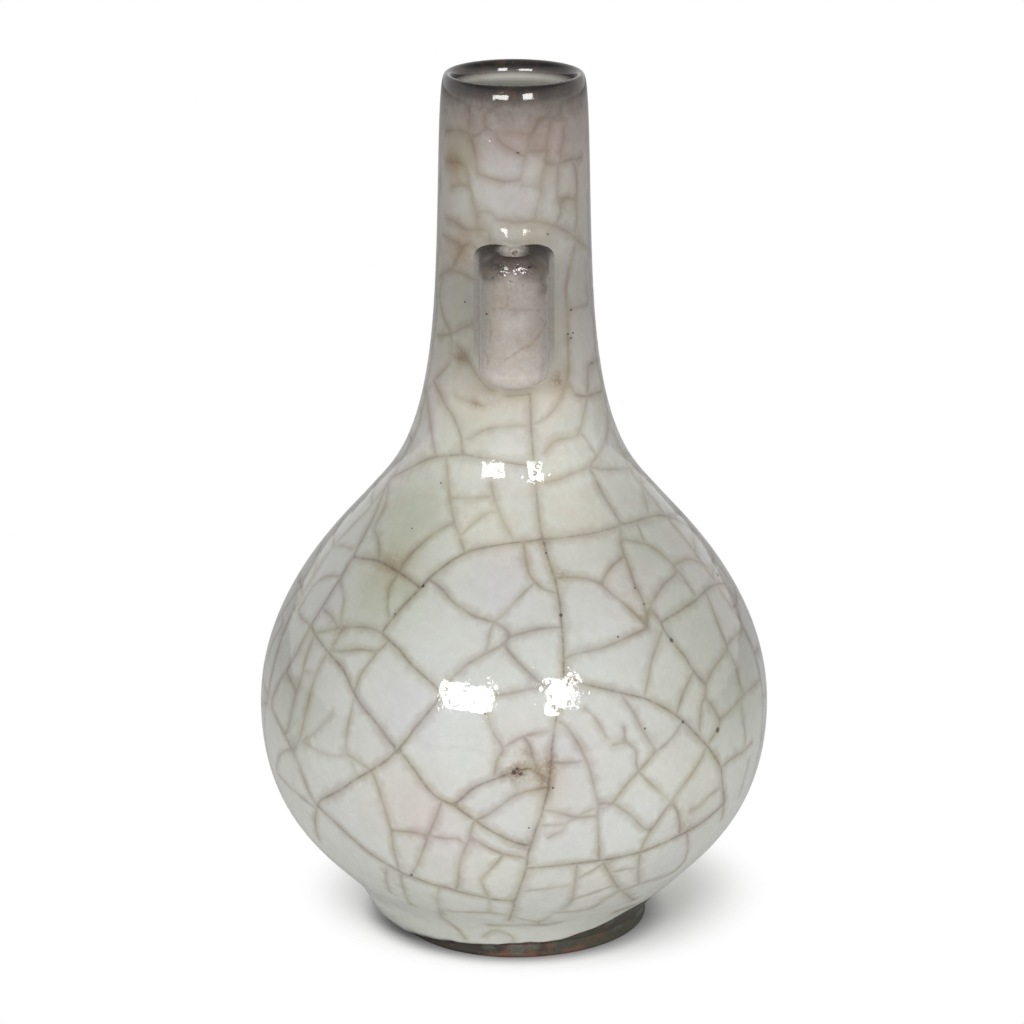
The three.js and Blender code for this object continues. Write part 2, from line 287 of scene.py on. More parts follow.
# Marks in the front glaze: place and radius in the photograph's pixels. Iron spots are dark
# pinholes in the glaze, and rust is brown stain round a crack or a knot of cracks.
IRON_SPOTS = """
671.5,640,2.6 717.7,730,3.2 423,586,2 561,615,2 645,728.5,1.3 618,637,1.2 644,604,1.2 411.5,875,1.8 683,722,1.8
571,310,1.4 568,334,1.4 573,333,1.2 571,338,1.2 592,363,1.4 465,302,1.2 548,234,1.1 518,153,1.3 514,772.5,2.6
521,774,2.2 517,769,1.6 441,483,1 412,528.5,1 395,614,1 546,553,1.1 635,588,1.1 553,788,1.3 529,828,1 485,714,1.1
"""
RUST_MARKS = """
518,772,9,1 557,379,6,0.9 550,763,8,0.75 343,628,9,0.6 475,403,7,0.45 490,402,5,0.4 392,564,12,0.5 544,543,7,0.45
561,573,8,0.4 608,862,8,0.35 688,826,9,0.3 604,806,7,0.3 523,846,8,0.35 540,772,12,0.5 545,784,8,0.5 462,356,8,0.45
706,676,7,0.35 333,641,8,0.35 646,616,8,0.3 526,756,8,0.35 569,340,5,0.45 453,161,9,0.5 466,248,12,0.25 726,648,6,0.3
292,748,9,0.3 505,773,8,0.5 398,874,8,0.25 356,690,8,0.25
"""

# Rough places in the glaze's gloss: place and radius in pixels.
PEEL_PATCHES = """
566,691,17 457,703,14 488,678,5 538,478,13 491,474,8 504,60,8 488,108,9 489,124,8 489,138,6
"""

# Where the glaze on the front leans to another colour: place, radius in pixels, colour, share.
GLAZE_WASHES = """
sea_green 408,512,42,0.95 395,600,40,0.55 365,600,30,0.5 640,545,24,0.5 700,630,40,0.5 470,430,30,0.5 630,440,30,0.45
740,700,34,0.5 420,900,30,0.3 290,720,36,0.45 455,300,26,0.5 450,365,26,0.35 462,142,14,0.6 463,148,11,0.7
572,148,9,0.5 568,200,12,0.5 440,330,14,0.4
cream 484,522,30,0.7 578,516,34,0.75 560,460,26,0.5 480,870,30,0.5 650,760,30,0.45 700,690,34,0.35 695,780,34,0.35
600,880,34,0.45 560,330,24,0.4 540,395,26,0.6 530,240,14,0.5 538,232,10,0.6 512,232,12,0.7 505,392,18,0.6
470,405,20,0.6 545,405,18,0.7 552,330,8,0.6 478,330,8,0.4
lilac 502,592,32,0.7 330,600,26,0.5 410,440,34,0.45 520,440,24,0.4 410,710,34,0.55 566,750,22,0.5 450,850,40,0.4
500,815,26,0.5 570,840,36,0.45 670,860,34,0.4 540,900,34,0.35 350,820,34,0.4 580,300,30,0.35 580,250,22,0.35
500,160,24,0.5 516,205,18,0.7 490,120,12,0.5
buff 518,560,20,0.6 630,592,34,0.6 683,545,26,0.45 520,740,22,0.5 590,740,24,0.4 430,820,34,0.55 400,800,34,0.4
560,800,26,0.35 300,680,24,0.35 555,140,16,0.4 470,395,26,0.3 530,130,12,0.7 505,140,12,0.7 470,120,12,0.7
560,120,14,0.7 553,145,9,0.8
pearl 608,618,32,0.7 345,690,30,0.5 430,640,42,0.6 450,740,44,0.85 620,740,46,0.7 540,660,26,0.5 590,665,32,0.5
520,700,30,0.5 465,700,30,0.4 620,830,40,0.6 660,800,36,0.45 330,770,30,0.4 505,200,30,0.35 458,205,16,0.7
497,160,18,0.8 490,195,16,0.6 531,170,12,0.6 548,205,12,0.7 580,340,16,0.3 440,300,18,0.4 528,412,14,0.5
amber 392,566,26,0.45 545,775,16,0.5 690,815,22,0.25 455,250,22,0.45 455,160,16,0.5 452,165,9,0.8 458,182,9,0.45
463,226,8,0.4 480,228,8,0.35 530,236,8,0.45 462,250,8,0.5 547,175,7,0.4 536,140,8,0.3 545,163,6,0.35 478,212,6,0.3
462,358,7,0.5 560,385,12,0.45
rust 545,240,6,0.2
"""

# The glaze's colour by millimetres up the wall, which run on over the lip to the inside, and how much lighter or
# darker it is. The colours are the glaze's own; the levels are partly painted light and shade: the body lighter near
# the foot, as light bounced up from the floor, and the inside darker down from the lip.
GLAZE_AND_PAINTED_LIGHT_GRADES = (
    (0, "body", 1.42), (25, "body", 1.3), (45, "body", 1.17), (60, "body", 1.09), (80, "body", 0.99),
    (118, "body", 0.98), (148, "body", 1.08), (166, "neck", 1.24), (187, "neck", 0.96), (216, "neck", 1.02),
    (226, "neck", 1.02), (233, "collar", 1.26), (239, "collar", 1.12), (243.5, "collar", 0.78), (246.5, "lip", 1.0),
    (248.5, "lip", 0.3), (250, "lip", 0.2), (251.3, "lip", 0.2), (252.3, "lip", 0.5), (253.0, "lip", 1.8),
    (253.6, "inside", 0.7), (254.6, "inside", 1.15), (256.0, "inside", 0.6), (257.0, "inside", 0.5),
)

# Painted light and shade on the sides: how much lighter or darker the glaze is painted towards the sides, by
# millimetres up the wall, lighter low down and darker higher up as the light fell there, and the turn at which that
# holds.
PAINTED_SIDE_LIGHT = ((20, 45, 62, 74, 86, 125, 150), (0, 0.06, 0.1, 0, -0.16, -0.16, 0))
PAINTED_SIDE_TURN = math.radians(35)

# Where the wall's normals lean, which moves the lamps' glints: on the shoulder, where the
# glaze pooled, and below the lip, where it ran thin. In millimetres up.
POOL_HEIGHT, POOL_REACH, POOL_LEAN = 146, 16, 0.125
THIN_START, THIN_TOP, THIN_LEAN = 245.2, 250, 0.15

# Grey runs of ash over the bare foot: turn and width in degrees, height and reach in
# millimetres, and how much.
ASH_RUNS = """
-11,5,3.2,1.6,0.9 -4,3,3.6,1,0.6 2,4,3,2.2,1 9,4,3.3,1.8,1 16,4,4,1.2,0.6 33,6,5,1.4,0.5 44,7,7.5,2.2,0.7
52,5,3.5,1.6,0.8 60,9,8.5,2.5,0.7 72,7,4,2,0.8 -42,6,3.6,0.9,0.4 100,14,3.5,2,0.7 150,10,3,1.5,0.8 -150,12,3.2,1.5,0.7
-105,8,3.2,1.2,0.5
"""


def clay_length(name, description, size):
    """A length that the sidebar shows, written here in millimetres."""
    return FloatProperty(
        name=name, description=description, default=size * MM, min=0.0, unit="LENGTH", subtype="DISTANCE"
    )


def clay_slope(name, description, degrees):
    """A slope of the wall, written here in degrees from upright."""
    return FloatProperty(
        name=name, description=description, default=math.radians(degrees), unit="ROTATION", subtype="ANGLE"
    )


def kiln_colour(name, description, red, green, blue):
    """A colour as it shows, written here from 0 to 255."""
    shown = (red / 255, green / 255, blue / 255)
    linear = tuple(c / 12.92 if c <= 0.04045 else ((c + 0.055) / 1.055) ** 2.4 for c in shown)
    return FloatVectorProperty(
        name=name, description=description, default=linear, size=3, min=0.0, max=1.0, subtype="COLOR"
    )


def share(name, description, amount):
    return FloatProperty(name=name, description=description, default=amount, min=0.0, max=1.0, subtype="FACTOR")


class VaseWall(PropertyGroup):
    """The turned outline, wall and foot."""

    height: clay_length("Height", "From the foot's underside to the top of the lip", 250)
    foot_radius: clay_length("Foot radius", "Outer radius of the foot ring", 38.6)
    foot_height: clay_length("Foot height", "Height of the joint between foot ring and bowl", 4)
    foot_slope: clay_slope("Foot slope", "How far the bowl leans out where it leaves the foot", 31.2)
    foot_pull: clay_length("Foot pull", "How far the bowl runs straight on from the foot", 18.5)
    belly_radius: clay_length("Belly radius", "Radius at the widest line", 73.4)
    belly_height: clay_length("Belly height", "Height of the widest line", 65.4)
    belly_pull_down: clay_length("Belly pull down", "Fullness of the belly below its widest line", 38.3)
    belly_pull_up: clay_length("Belly pull up", "Fullness of the belly above its widest line", 31.3)
    shoulder_radius: clay_length("Shoulder radius", "Radius at the joint of belly and neck", 43)
    shoulder_height: clay_length("Shoulder height", "Height of the joint of belly and neck", 126.3)
    shoulder_slope: clay_slope("Shoulder slope", "How far the shoulder leans in", 39.8)
    shoulder_pull_down: clay_length("Shoulder pull down", "Straightness of the shoulder below the joint", 9)
    shoulder_pull_up: clay_length("Shoulder pull up", "Straightness of the shoulder above the joint", 11.6)
    neck_radius: clay_length("Neck radius", "Radius half way up the neck", 22.7)
    neck_height: clay_length("Neck height", "Height at which the neck radius is given", 184)
    neck_slope: clay_slope("Neck slope", "How far the neck leans in", 3.8)
    neck_pull_down: clay_length("Neck pull down", "Straightness of the neck below that height", 42.3)
    neck_pull_up: clay_length("Neck pull up", "Straightness of the neck above that height", 20.7)
    lip_radius: clay_length("Lip radius", "Radius at the joint of neck and lip", 20.6)
    lip_depth: clay_length("Lip depth", "Height of the rounded lip", 7)
    lip_slope: clay_slope("Lip slope", "How far the wall leans in below the lip", 4.2)
    lip_pull: clay_length("Lip pull", "Straightness of the neck below the lip", 11.7)
    lip_crown_inset: clay_length("Lip crown inset", "From the lip's outer face in to its top line", 1.8)
    lip_wall: clay_length("Lip wall", "Thickness at the lip", 3.7)
    lip_inner_drop: clay_length("Lip inner drop", "Depth of the rounding inside the mouth", 3.5)
    foot_wall: clay_length("Foot wall", "Thickness of the bowl near the foot", 6)
    belly_wall: clay_length("Belly wall", "Thickness at the widest line", 5)
    shoulder_wall: clay_length("Shoulder wall", "Thickness at the shoulder", 4.5)
    neck_wall: clay_length("Neck wall", "Thickness of the neck", 4)
    foot_width: clay_length("Foot width", "Width of the foot ring's face", 5.4)
    foot_bevel: clay_length("Foot bevel", "Bevel of the foot ring's lower edges", 0.8)
    recess_depth: clay_length("Recess depth", "Depth of the turned recess under the base", 5)
    base_thickness: clay_length("Base thickness", "Thickness of the base", 6)
    glaze_thickness: clay_length("Glaze thickness", "How far the glaze's edge stands out over bare clay", 0.45)
    glaze_bulge: clay_length("Glaze bulge", "How much further it stands out where it ran thickest", 1.8)


class VaseLug(PropertyGroup):
    """The hollow lugs on the neck."""

    top_height: clay_length("Top height", "Height of the lug's upper end", 205.6)
    length: clay_length("Length", "From end to end of the lug", 36.5)
    width: clay_length("Width", "Across the lug, seen from the front", 19.3)
    reach: clay_length("Reach", "How far the lug stands out from the neck", 17.5)
    round_depth: clay_length("Round depth", "Depth of the rounded front", 9)
    side_pull: clay_length("Side pull", "Straightness of the sides into the rounding", 5.5)
    front_pull: clay_length("Front pull", "Flatness of the rounded front", 6)
    top_roll: clay_length("Top roll", "Radius of the rolled upper edge", 3)
    corner_roll: clay_length("Corner roll", "Radius of the upper edge at the sides", 4.6)
    lean_back: clay_length("Lean back", "How far the front leans back at its upper edge", 1.1)
    lean_length: clay_length("Lean length", "Length of the front that leans back", 9)
    bottom_roll: clay_length("Bottom roll", "Radius of the rolled lower edge", 4.2)
    bore_width: clay_length("Bore width", "Width of the cord hole", 7.4)
    bore_depth: clay_length("Bore depth", "Depth of the cord hole, away from the neck", 10.4)
    bore_flare: clay_length("Bore flare", "Rounding at the cord hole's ends", 1)
    bore_wall: clay_length("Bore wall", "Clay between the cord hole and the neck", 2.6)
    seat_gap: clay_length("Seat gap", "Layer of slip between lug and neck", 0.3)
    seam_round: clay_length("Seam round", "Radius of the glaze pooled along the seam with the neck", 1.8)
    pool_lift: clay_length("Pool lift", "How far the glaze stands out where it pooled over a lug", 0.95)
    pool_reach: clay_length("Pool reach", "How far up the neck that pool reaches", 3.3)


class VaseGlaze(PropertyGroup):
    """Colours of glaze and clay, and the make-up of the crackle."""

    pearl: kiln_colour("Pearl", "Thick, clear part of the glaze", 205, 207, 203)
    cream: kiln_colour("Cream", "Warm part of the glaze", 206, 204, 190)
    sea_green: kiln_colour("Sea green", "Green part of the glaze", 184, 189, 170)
    lilac: kiln_colour("Lilac", "Cool grey part of the glaze", 197, 196, 198)
    buff: kiln_colour("Buff", "Pinkish part of the glaze", 200, 191, 184)
    amber: kiln_colour("Amber", "Stained part of the glaze", 176, 160, 134)
    body: kiln_colour("Body", "The glaze on the body where nothing else shows", 199, 200, 192)
    neck: kiln_colour("Neck", "The glaze on the neck", 172, 169, 160)
    collar: kiln_colour("Collar", "The thinning glaze below the mouth", 146, 138, 131)
    lip: kiln_colour("Lip", "The thin glaze on the lip, with dark clay under it", 70, 60, 55)
    inside: kiln_colour("Inside", "The glaze inside the neck", 190, 189, 181)
    crack_dark: kiln_colour("Dark crack", "Stain in the first, deep cracks", 84, 81, 74)
    crack_brown: kiln_colour("Brown crack", "Stain in the finer cracks", 114, 110, 103)
    crack_faint: kiln_colour("Faint crack", "Soft stain beside every crack", 152, 148, 140)
    stain_warm: kiln_colour("Warm stain", "Pinkish stain that crept into the glaze beside cracks", 168, 161, 150)
    stain_yellow: kiln_colour("Yellow stain", "Yellowish stain beside cracks", 171, 166, 146)
    iron: kiln_colour("Iron", "Iron spots", 38, 32, 28)
    rust: kiln_colour("Rust", "Brown stain round knots of cracks", 128, 102, 74)
    lug_light: kiln_colour("Lug, light", "The glaze low on a lug", 190, 184, 176)
    lug_grey: kiln_colour("Lug, grey", "The glaze half way up a lug", 172, 165, 157)
    lug_thin: kiln_colour("Lug, thin", "The glaze on a lug's upper front", 130, 118, 110)
    lug_olive: kiln_colour("Lug, olive", "The greenish glaze beside a lug's upper front", 98, 90, 73)
    lug_edge: kiln_colour("Lug, edge", "The glaze worn thin over a lug's upper edge", 62, 50, 47)
    clay_dark: kiln_colour("Dark clay", "The bare foot where it took most fire", 58, 50, 42)
    clay_red: kiln_colour("Red clay", "The bare foot where it is iron red", 112, 78, 60)
    clay_grey: kiln_colour("Grey clay", "The bare foot where it took less fire", 74, 73, 60)
    clay_ash: kiln_colour("Ash", "Ash glaze run over the bare foot", 92, 94, 84)
    cell: clay_length("Cell", "Smallest width at which a cell of the crackle still splits", 10.5)
    cell_spread: clay_length("Cell spread", "How much that width varies from cell to cell", 9)
    seed: IntProperty(name="Seed", description="Which crackle the sides and the back get", default=11, min=0)


class VaseStudio(PropertyGroup):
    """Lamps, backdrop and camera."""

    lamp_distance: clay_length("Lamp distance", "From the vase's axis to each lamp", 1300)
    lamp_turn: clay_slope("Lamp turn", "How far each lamp stands to the side of the camera", 22)
    left_lamp_height: clay_length("Left lamp height", "Height of the left lamp above the floor", 610)
    right_lamp_height: clay_length("Right lamp height", "Height of the right lamp above the floor", 660)
    lamp_power: FloatProperty(name="Lamp power", description="Power of each lamp", default=6.8, min=0.0, unit="POWER")
    sky: share("Sky", "Brightness of the soft light from overhead", 0.6)
    horizon: share("Horizon", "Brightness of the soft light from the sides", 0.06)
    back_light: share("Back light", "Brightness of the soft light from behind the vase", 0.95)
    floor_seen: share("Floor seen", "How pale the floor looks under the light", 1.0)
    shadow_start: clay_length("Shadow start", "How far from its centre the shadow begins to fade", 43)
    shadow_reach: clay_length("Shadow reach", "How far from its centre the shadow has faded into white", 71)
    shadow_back: clay_length("Shadow back", "How far behind the vase its shadow is centred", 17)
    shadow_aside: clay_length("Shadow aside", "How far right of the vase its shadow is centred", 6)
    # Painted shadow: the width of the darkening painted into the floor round the foot.
    painted_contact_shadow: clay_length("Contact", "Width of the darkest shadow, beside the foot", 8)
    camera_distance: clay_length("Camera distance", "From the point aimed at to the camera", 1306.9)
    camera_aim: clay_length("Camera aim", "Height of the point aimed at", 121.87)
    camera_tilt: clay_slope("Camera tilt", "How far the camera looks down", 16.883)


def bezier(start, leave, arrive, end, steps):
    """Points of a cubic curve, its first point left out."""
    part = np.linspace(0, 1, steps + 1)[1:, None]
    back = 1 - part
    return back**3 * start + 3 * back**2 * part * leave + 3 * back * part**2 * arrive + part**3 * end


def leaning(slope):
    return np.array([math.sin(slope), math.cos(slope)])


def outline_of(wall):
    """The wall from the foot joint up, over the lip and down to the lip joint inside, as rows
    of radius and height, with the row that is the top line of the lip."""
    lip_joint = wall.height - wall.lip_depth
    stations = [
        (wall.foot_radius, wall.foot_height, wall.foot_slope, 0.0, wall.foot_pull),
        (wall.belly_radius, wall.belly_height, 0.0, wall.belly_pull_down, wall.belly_pull_up),
        (wall.shoulder_radius, wall.shoulder_height, -wall.shoulder_slope, wall.shoulder_pull_down,
         wall.shoulder_pull_up),
        (wall.neck_radius, wall.neck_height, -wall.neck_slope, wall.neck_pull_down, wall.neck_pull_up),
        (wall.lip_radius, lip_joint, -wall.lip_slope, wall.lip_pull, wall.lip_pull),
    ]
    rows = [np.array([stations[0][:2]])]
    for (*low, low_slope, _, leave), (*high, high_slope, arrive, _) in zip(stations, stations[1:]):
        low, high = np.array(low), np.array(high)
        rows.append(bezier(low, low + leave * leaning(low_slope), high - arrive * leaning(high_slope), high, 160))
    lip = np.array([wall.lip_radius, lip_joint])
    crown = np.array([wall.lip_radius - wall.lip_crown_inset, wall.height])
    within = np.array([wall.lip_radius - wall.lip_wall, wall.height - wall.lip_inner_drop])
    flat, upright = np.array([1.1 * MM, 0]), np.array([0, 2.2 * MM])
    rows.append(bezier(lip, lip + 4.8 * MM * leaning(-wall.lip_slope), crown + flat, crown, 60))
    top_row = sum(len(r) for r in rows) - 1
    rows.append(bezier(crown, crown - flat, within + upright, within, 50))
    drop = np.linspace(within[1], lip_joint, 16)[1:]
    rows.append(np.column_stack([np.full(len(drop), within[0]), drop]))
    return np.concatenate(rows), top_row


class Skin:
    """The outline with its sheet coordinate. On the sheet, a small step up the wall and the
    same step round it are equally long, so that lines keep their angles on the wall."""

    def __init__(self, wall):
        rows, top_row = outline_of(wall)
        self.radius, self.height = rows.T
        over = np.arange(len(rows)) > top_row
        self.run = np.where(over, 2 * wall.height - self.height, self.height)
        steps = np.hypot(*np.diff(rows, axis=0).T)
        middle = (self.radius[1:] + self.radius[:-1]) / 2
        self.up = np.concatenate([[0], np.cumsum(steps / middle)])
        self.length = np.concatenate([[0], np.cumsum(steps)])
        along = np.gradient(rows, self.length, axis=0)
        along /= np.hypot(*along.T)[:, None]
        self.out_radial, self.out_level = along[:, 1], -along[:, 0]
        self.top_row, self.outside = top_row, slice(0, top_row + 1)

    def up_at(self, height):
        """The sheet coordinate of a height on the outside."""
        return np.interp(height, self.height[self.outside], self.up[self.outside])

    def radius_at(self, height):
        return np.interp(height, self.height[self.outside], self.radius[self.outside])

    def local_radius(self, up):
        return np.interp(up, self.up, self.radius)

    def turned_to(self, turn, up, radial, level):
        radial, level = np.interp(up, self.up, radial), np.interp(up, self.up, level)
        return np.column_stack([radial * np.sin(turn), -radial * np.cos(turn), level])

    def points(self, turn, up):
        return self.turned_to(turn, up, self.radius, self.height)

    def facing(self, turn, up):
        return self.turned_to(turn, up, self.out_radial, self.out_level)


def inner_line(wall, skin):
    """The inside of the wall, from the lip joint down to the middle of the floor."""
    joint = np.array([[wall.lip_radius - wall.lip_wall, wall.height - wall.lip_depth]])
    levels = [wall.foot_height, wall.belly_height, wall.shoulder_height, wall.neck_height, joint[0, 1]]
    walls = [wall.foot_wall, wall.belly_wall, wall.shoulder_wall, wall.neck_wall, wall.lip_wall]
    rows = np.flatnonzero(skin.height[: skin.top_row] < joint[0, 1])
    thick = np.interp(skin.height[rows], levels, walls)
    radius = skin.radius[rows] - thick * skin.out_radial[rows]
    height = skin.height[rows] - thick * skin.out_level[rows]
    floor = wall.recess_depth + wall.base_thickness
    sweep = floor + 16 * MM
    meet, above = (np.array([np.interp(level, height, radius), level]) for level in (sweep, sweep + MM))
    along = (meet - above) / np.hypot(*(meet - above))
    bowl = bezier(meet, meet + 9.6 * MM * along, np.array([20 * MM, floor]), np.array([0.4 * MM, floor]), 24)
    down = np.column_stack([radius, height])[height > sweep][::-6]
    return np.concatenate([joint, down[down[:, 1] < joint[0, 1] - MM], meet[None], bowl])


class Lens:
    """The photograph's camera."""

    def __init__(self, studio):
        tilt = studio.camera_tilt
        self.ahead = np.array([0, math.cos(tilt), -math.sin(tilt)])
        self.upward = np.array([0, math.sin(tilt), math.cos(tilt)])
        self.place = np.array([0, 0, studio.camera_aim]) - studio.camera_distance * self.ahead

    def rays(self, pixels):
        pixels = np.asarray(pixels, float)
        across = (pixels[:, 0] - AXIS_PIXEL) / FOCAL_PIXELS
        upward = (MIDDLE_PIXEL - pixels[:, 1]) / FOCAL_PIXELS
        return self.ahead + across[:, None] * np.array([1.0, 0, 0]) + upward[:, None] * self.upward

    def on_wall(self, pixels, skin):
        """Turn and sheet height of the wall points that these pixels show. A pixel just
        outside the outline goes to the nearest place on it."""
        rays = self.rays(pixels)
        reach = np.linspace(1.1, 1.42, 640)
        spots = self.place + rays[:, None] * reach[None, :, None]
        gap = np.hypot(spots[..., 0], spots[..., 1]) - skin.radius_at(spots[..., 2])
        hit = (gap < 0).argmax(axis=1)
        met = gap[np.arange(len(gap)), hit] < 0
        row = np.arange(len(gap))
        before, after = gap[row, hit - 1], gap[row, hit]
        part = np.where(met, before / np.where(met, before - after, 1), 0)
        found = np.where(met, reach[hit - 1] + part * (reach[1] - reach[0]), reach[gap.argmin(axis=1)])
        spots = self.place + rays * found[:, None]
        return np.arctan2(spots[:, 0], -spots[:, 1]), skin.up_at(spots[:, 2])


def read_points(text):
    """Rows of numbers, each of them written in the tables as one word."""
    return np.array([[float(number) for number in word.split(",")] for word in text.split()])


def read_rows(text):
    """Rows of numbers under the name that stands before them."""
    groups = []
    for word in text.split():
        if "," in word:
            groups[-1][1].append([float(number) for number in word.split(",")])
        else:
            groups.append((word, []))
    return [(name, np.array(rows)) for name, rows in groups]


def joined(drawn, reach=4.0):
    """Draws each loose end of the traced lines to the nearest place on another line."""
    for index, (_, line) in enumerate(drawn):
        for end in (0, -1):
            best, goal = reach, None
            for other_index, (_, other) in enumerate(drawn):
                if other_index == index:
                    continue
                start, step = other[:-1], np.diff(other, axis=0)
                along = ((line[end] - start) * step).sum(1) / np.maximum((step**2).sum(1), 1e-9)
                spots = start + np.clip(along, 0, 1)[:, None] * step
                far = np.hypot(*(spots - line[end]).T)
                if far.min() < best:
                    best, goal = far.min(), spots[far.argmin()]
            if goal is not None:
                line[end] = goal
    return drawn


def rounded(line, steps=4):
    """A smooth line through the given points."""
    if len(line) < 3:
        return line
    ends = np.vstack([2 * line[0] - line[1], line, 2 * line[-1] - line[-2]])
    out = [line[0]]
    for before, start, end, after in zip(ends, ends[1:], ends[2:], ends[3:]):
        first, second = end - before, 2 * before - 5 * start + 4 * end - after
        third = 3 * start - before - 3 * end + after
        for part in np.linspace(0, 1, steps + 1)[1:]:
            out.append(0.5 * (2 * start + first * part + second * part**2 + third * part**3))
    return np.array(out)


def spaced(line, skin, gap):
    """The line with its points an even gap apart on the wall."""
    local = skin.local_radius((line[1:, 1] + line[:-1, 1]) / 2)
    length = np.concatenate([[0], np.cumsum(np.hypot(*np.diff(line, axis=0).T) * local)])
    count = max(2, int(round(length[-1] / gap)) + 1)
    at = np.linspace(0, length[-1], count)
    return np.column_stack([np.interp(at, length, line[:, 0]), np.interp(at, length, line[:, 1])])


def cut_across(corners, place, direction):
    """Splits a convex cell along a line through a place. Gives the two cells and the line."""
    normal = np.array([-direction[1], direction[0]])
    side = (corners - place) @ normal
    left, right, ends = [], [], []
    for i, corner in enumerate(corners):
        after = (i + 1) % len(corners)
        (left if side[i] >= 0 else right).append(corner)
        if (side[i] >= 0) != (side[after] >= 0):
            meet = corner + (corners[after] - corner) * side[i] / (side[i] - side[after])
            left.append(meet)
            right.append(meet)
            ends.append(meet)
    return np.array(left), np.array(right), ends


def crackled(corners, skin, glaze, chance, cracks):
    """Splits a cell again and again, as a cooling glaze does, across its longest side."""
    area = 0.5 * abs(np.sum(corners[:, 0] * np.roll(corners[:, 1], -1) - corners[:, 1] * np.roll(corners[:, 0], -1)))
    middle = corners.mean(axis=0)
    width = math.sqrt(area) * float(skin.local_radius(middle[1]))
    if width < glaze.cell + glaze.cell_spread * chance.random():
        return
    sides = np.roll(corners, -1, axis=0) - corners
    longest = int(np.hypot(*sides.T).argmax())
    side = sides[longest]
    lean = math.atan2(side[1], side[0]) + math.pi / 2 + chance.gauss(0, 0.16)
    direction = np.array([math.cos(lean), math.sin(lean)])
    place = corners[longest] + side * chance.uniform(0.36, 0.64)
    place = place + (middle - place) * 0.05
    left, right, ends = cut_across(corners, place, direction)
    if len(ends) != 2:
        return
    if width > 40 * MM:
        kind = DARK
    elif width > 22 * MM:
        kind = DARK if chance.random() < 0.35 else BROWN
    else:
        kind = BROWN if chance.random() < 0.6 else FAINT
    cracks.append((kind, np.array(ends)))
    crackled(left, skin, glaze, chance, cracks)
    crackled(right, skin, glaze, chance, cracks)


# Which bends the generated lines get. Unset, it would change from run to run.
BEND_SEED = 1795733815


def wandering(line):
    """Bends straight lines of the sheet, and bends meeting lines alike."""
    out = []
    for turn, up in line:
        wide = noise.noise_vector(Vector((turn * 2.3, up * 2.3, 4.0)))
        fine = noise.noise_vector(Vector((turn * 8.5, up * 8.5, 9.0)))
        out.append((turn + 0.085 * wide.x + 0.016 * fine.x, up + 0.085 * wide.y + 0.016 * fine.y))
    return np.array(out)


def all_cracks(skin, glaze, lens):
    """Every crack of the wall as lines of turn and sheet height, with its kind."""
    cracks = []
    for kind, line in joined(read_rows(CRACKS)):
        turn, up = lens.on_wall(rounded(line), skin)
        cracks.append((kind, np.column_stack([turn, up])))
    edge = math.radians(76)
    low, high = 0.0, float(skin.up_at(skin.height[skin.top_row] - 9 * MM))
    back = np.array([(edge, low), (2 * math.pi - edge, low), (2 * math.pi - edge, high), (edge, high)])
    chance = random.Random(glaze.seed)
    split = [(BROWN, back[[1, 2]]), (BROWN, back[[0, 3]])]
    crackled(back, skin, glaze, chance, split)
    noise.seed_set(BEND_SEED)
    for kind, line in split:
        cracks.append((kind, wandering(spaced(line, skin, 2.5 * MM))))
    return cracks


def stretches(line, inside):
    """The stretches of a line whose points are all inside."""
    edges = np.flatnonzero(np.diff(np.concatenate([[0], inside.astype(int), [0]])))
    return [line[a:b] for a, b in zip(edges[::2], edges[1::2]) if b - a > 1]


def tree_of(points):
    tree = KDTree(len(points))
    for index, point in enumerate(points):
        tree.insert(point, index)
    tree.balance()
    return tree


def nearest(tree, points, most):
    return np.array([min(most, tree.find(p)[2]) for p in points])


# How close the points of the wall's mesh lie: along a crack, in the rows beside it, round each
# joint from the foot to the lip, and elsewhere by millimetres of height.
CRACK_STEP = 1.25 * MM
BESIDE_CRACK = 0.8 * MM
JOINT_POINTS = (512, 240, 240, 128, 128)
GAP_BY_HEIGHT = ((4.0, 8.0, 9.0, 14.0, 17.0), (0.5, 0.5, 0.95, 1.1, 2.2))
SPOT_RINGS = ((0.5, 6), (1.0, 8), (1.7, 10))  # sizes of an iron spot, and points in a ring of it
ROUND_COUNT = 128  # points round the inside
OVERLAP = 0.13  # how far the sheet runs on past half a turn, in radians
ROUND = np.array([2 * math.pi, 0])


def sewn(sheet, edges, high):
    """The sheet's triangles, with its two sides brought together."""
    places, _, faces, _, _, _ = delaunay_2d_cdt([Vector(map(float, p)) for p in sheet], edges, [], 0, 1e-7, False)
    places = np.array([tuple(p) for p in places])
    faces = np.array([f for f in faces if len(f) == 3])
    middle = places[faces].mean(axis=1)
    faces = faces[(np.abs(middle[:, 0] + 1e-9) <= math.pi) & (middle[:, 1] > 0) & (middle[:, 1] < high)]
    places[:, 0] = (places[:, 0] + math.pi + 1e-7) % (2 * math.pi) - math.pi
    used = np.unique(faces)
    keys = np.round(places[used] / 2e-7).astype(np.int64)
    _, first, back = np.unique(keys, axis=0, return_index=True, return_inverse=True)
    number = np.full(len(places), -1)
    number[used] = back.reshape(-1)
    a, b, c = number[faces].T
    return places[used][first], number[faces][(a != b) & (b != c) & (a != c)]


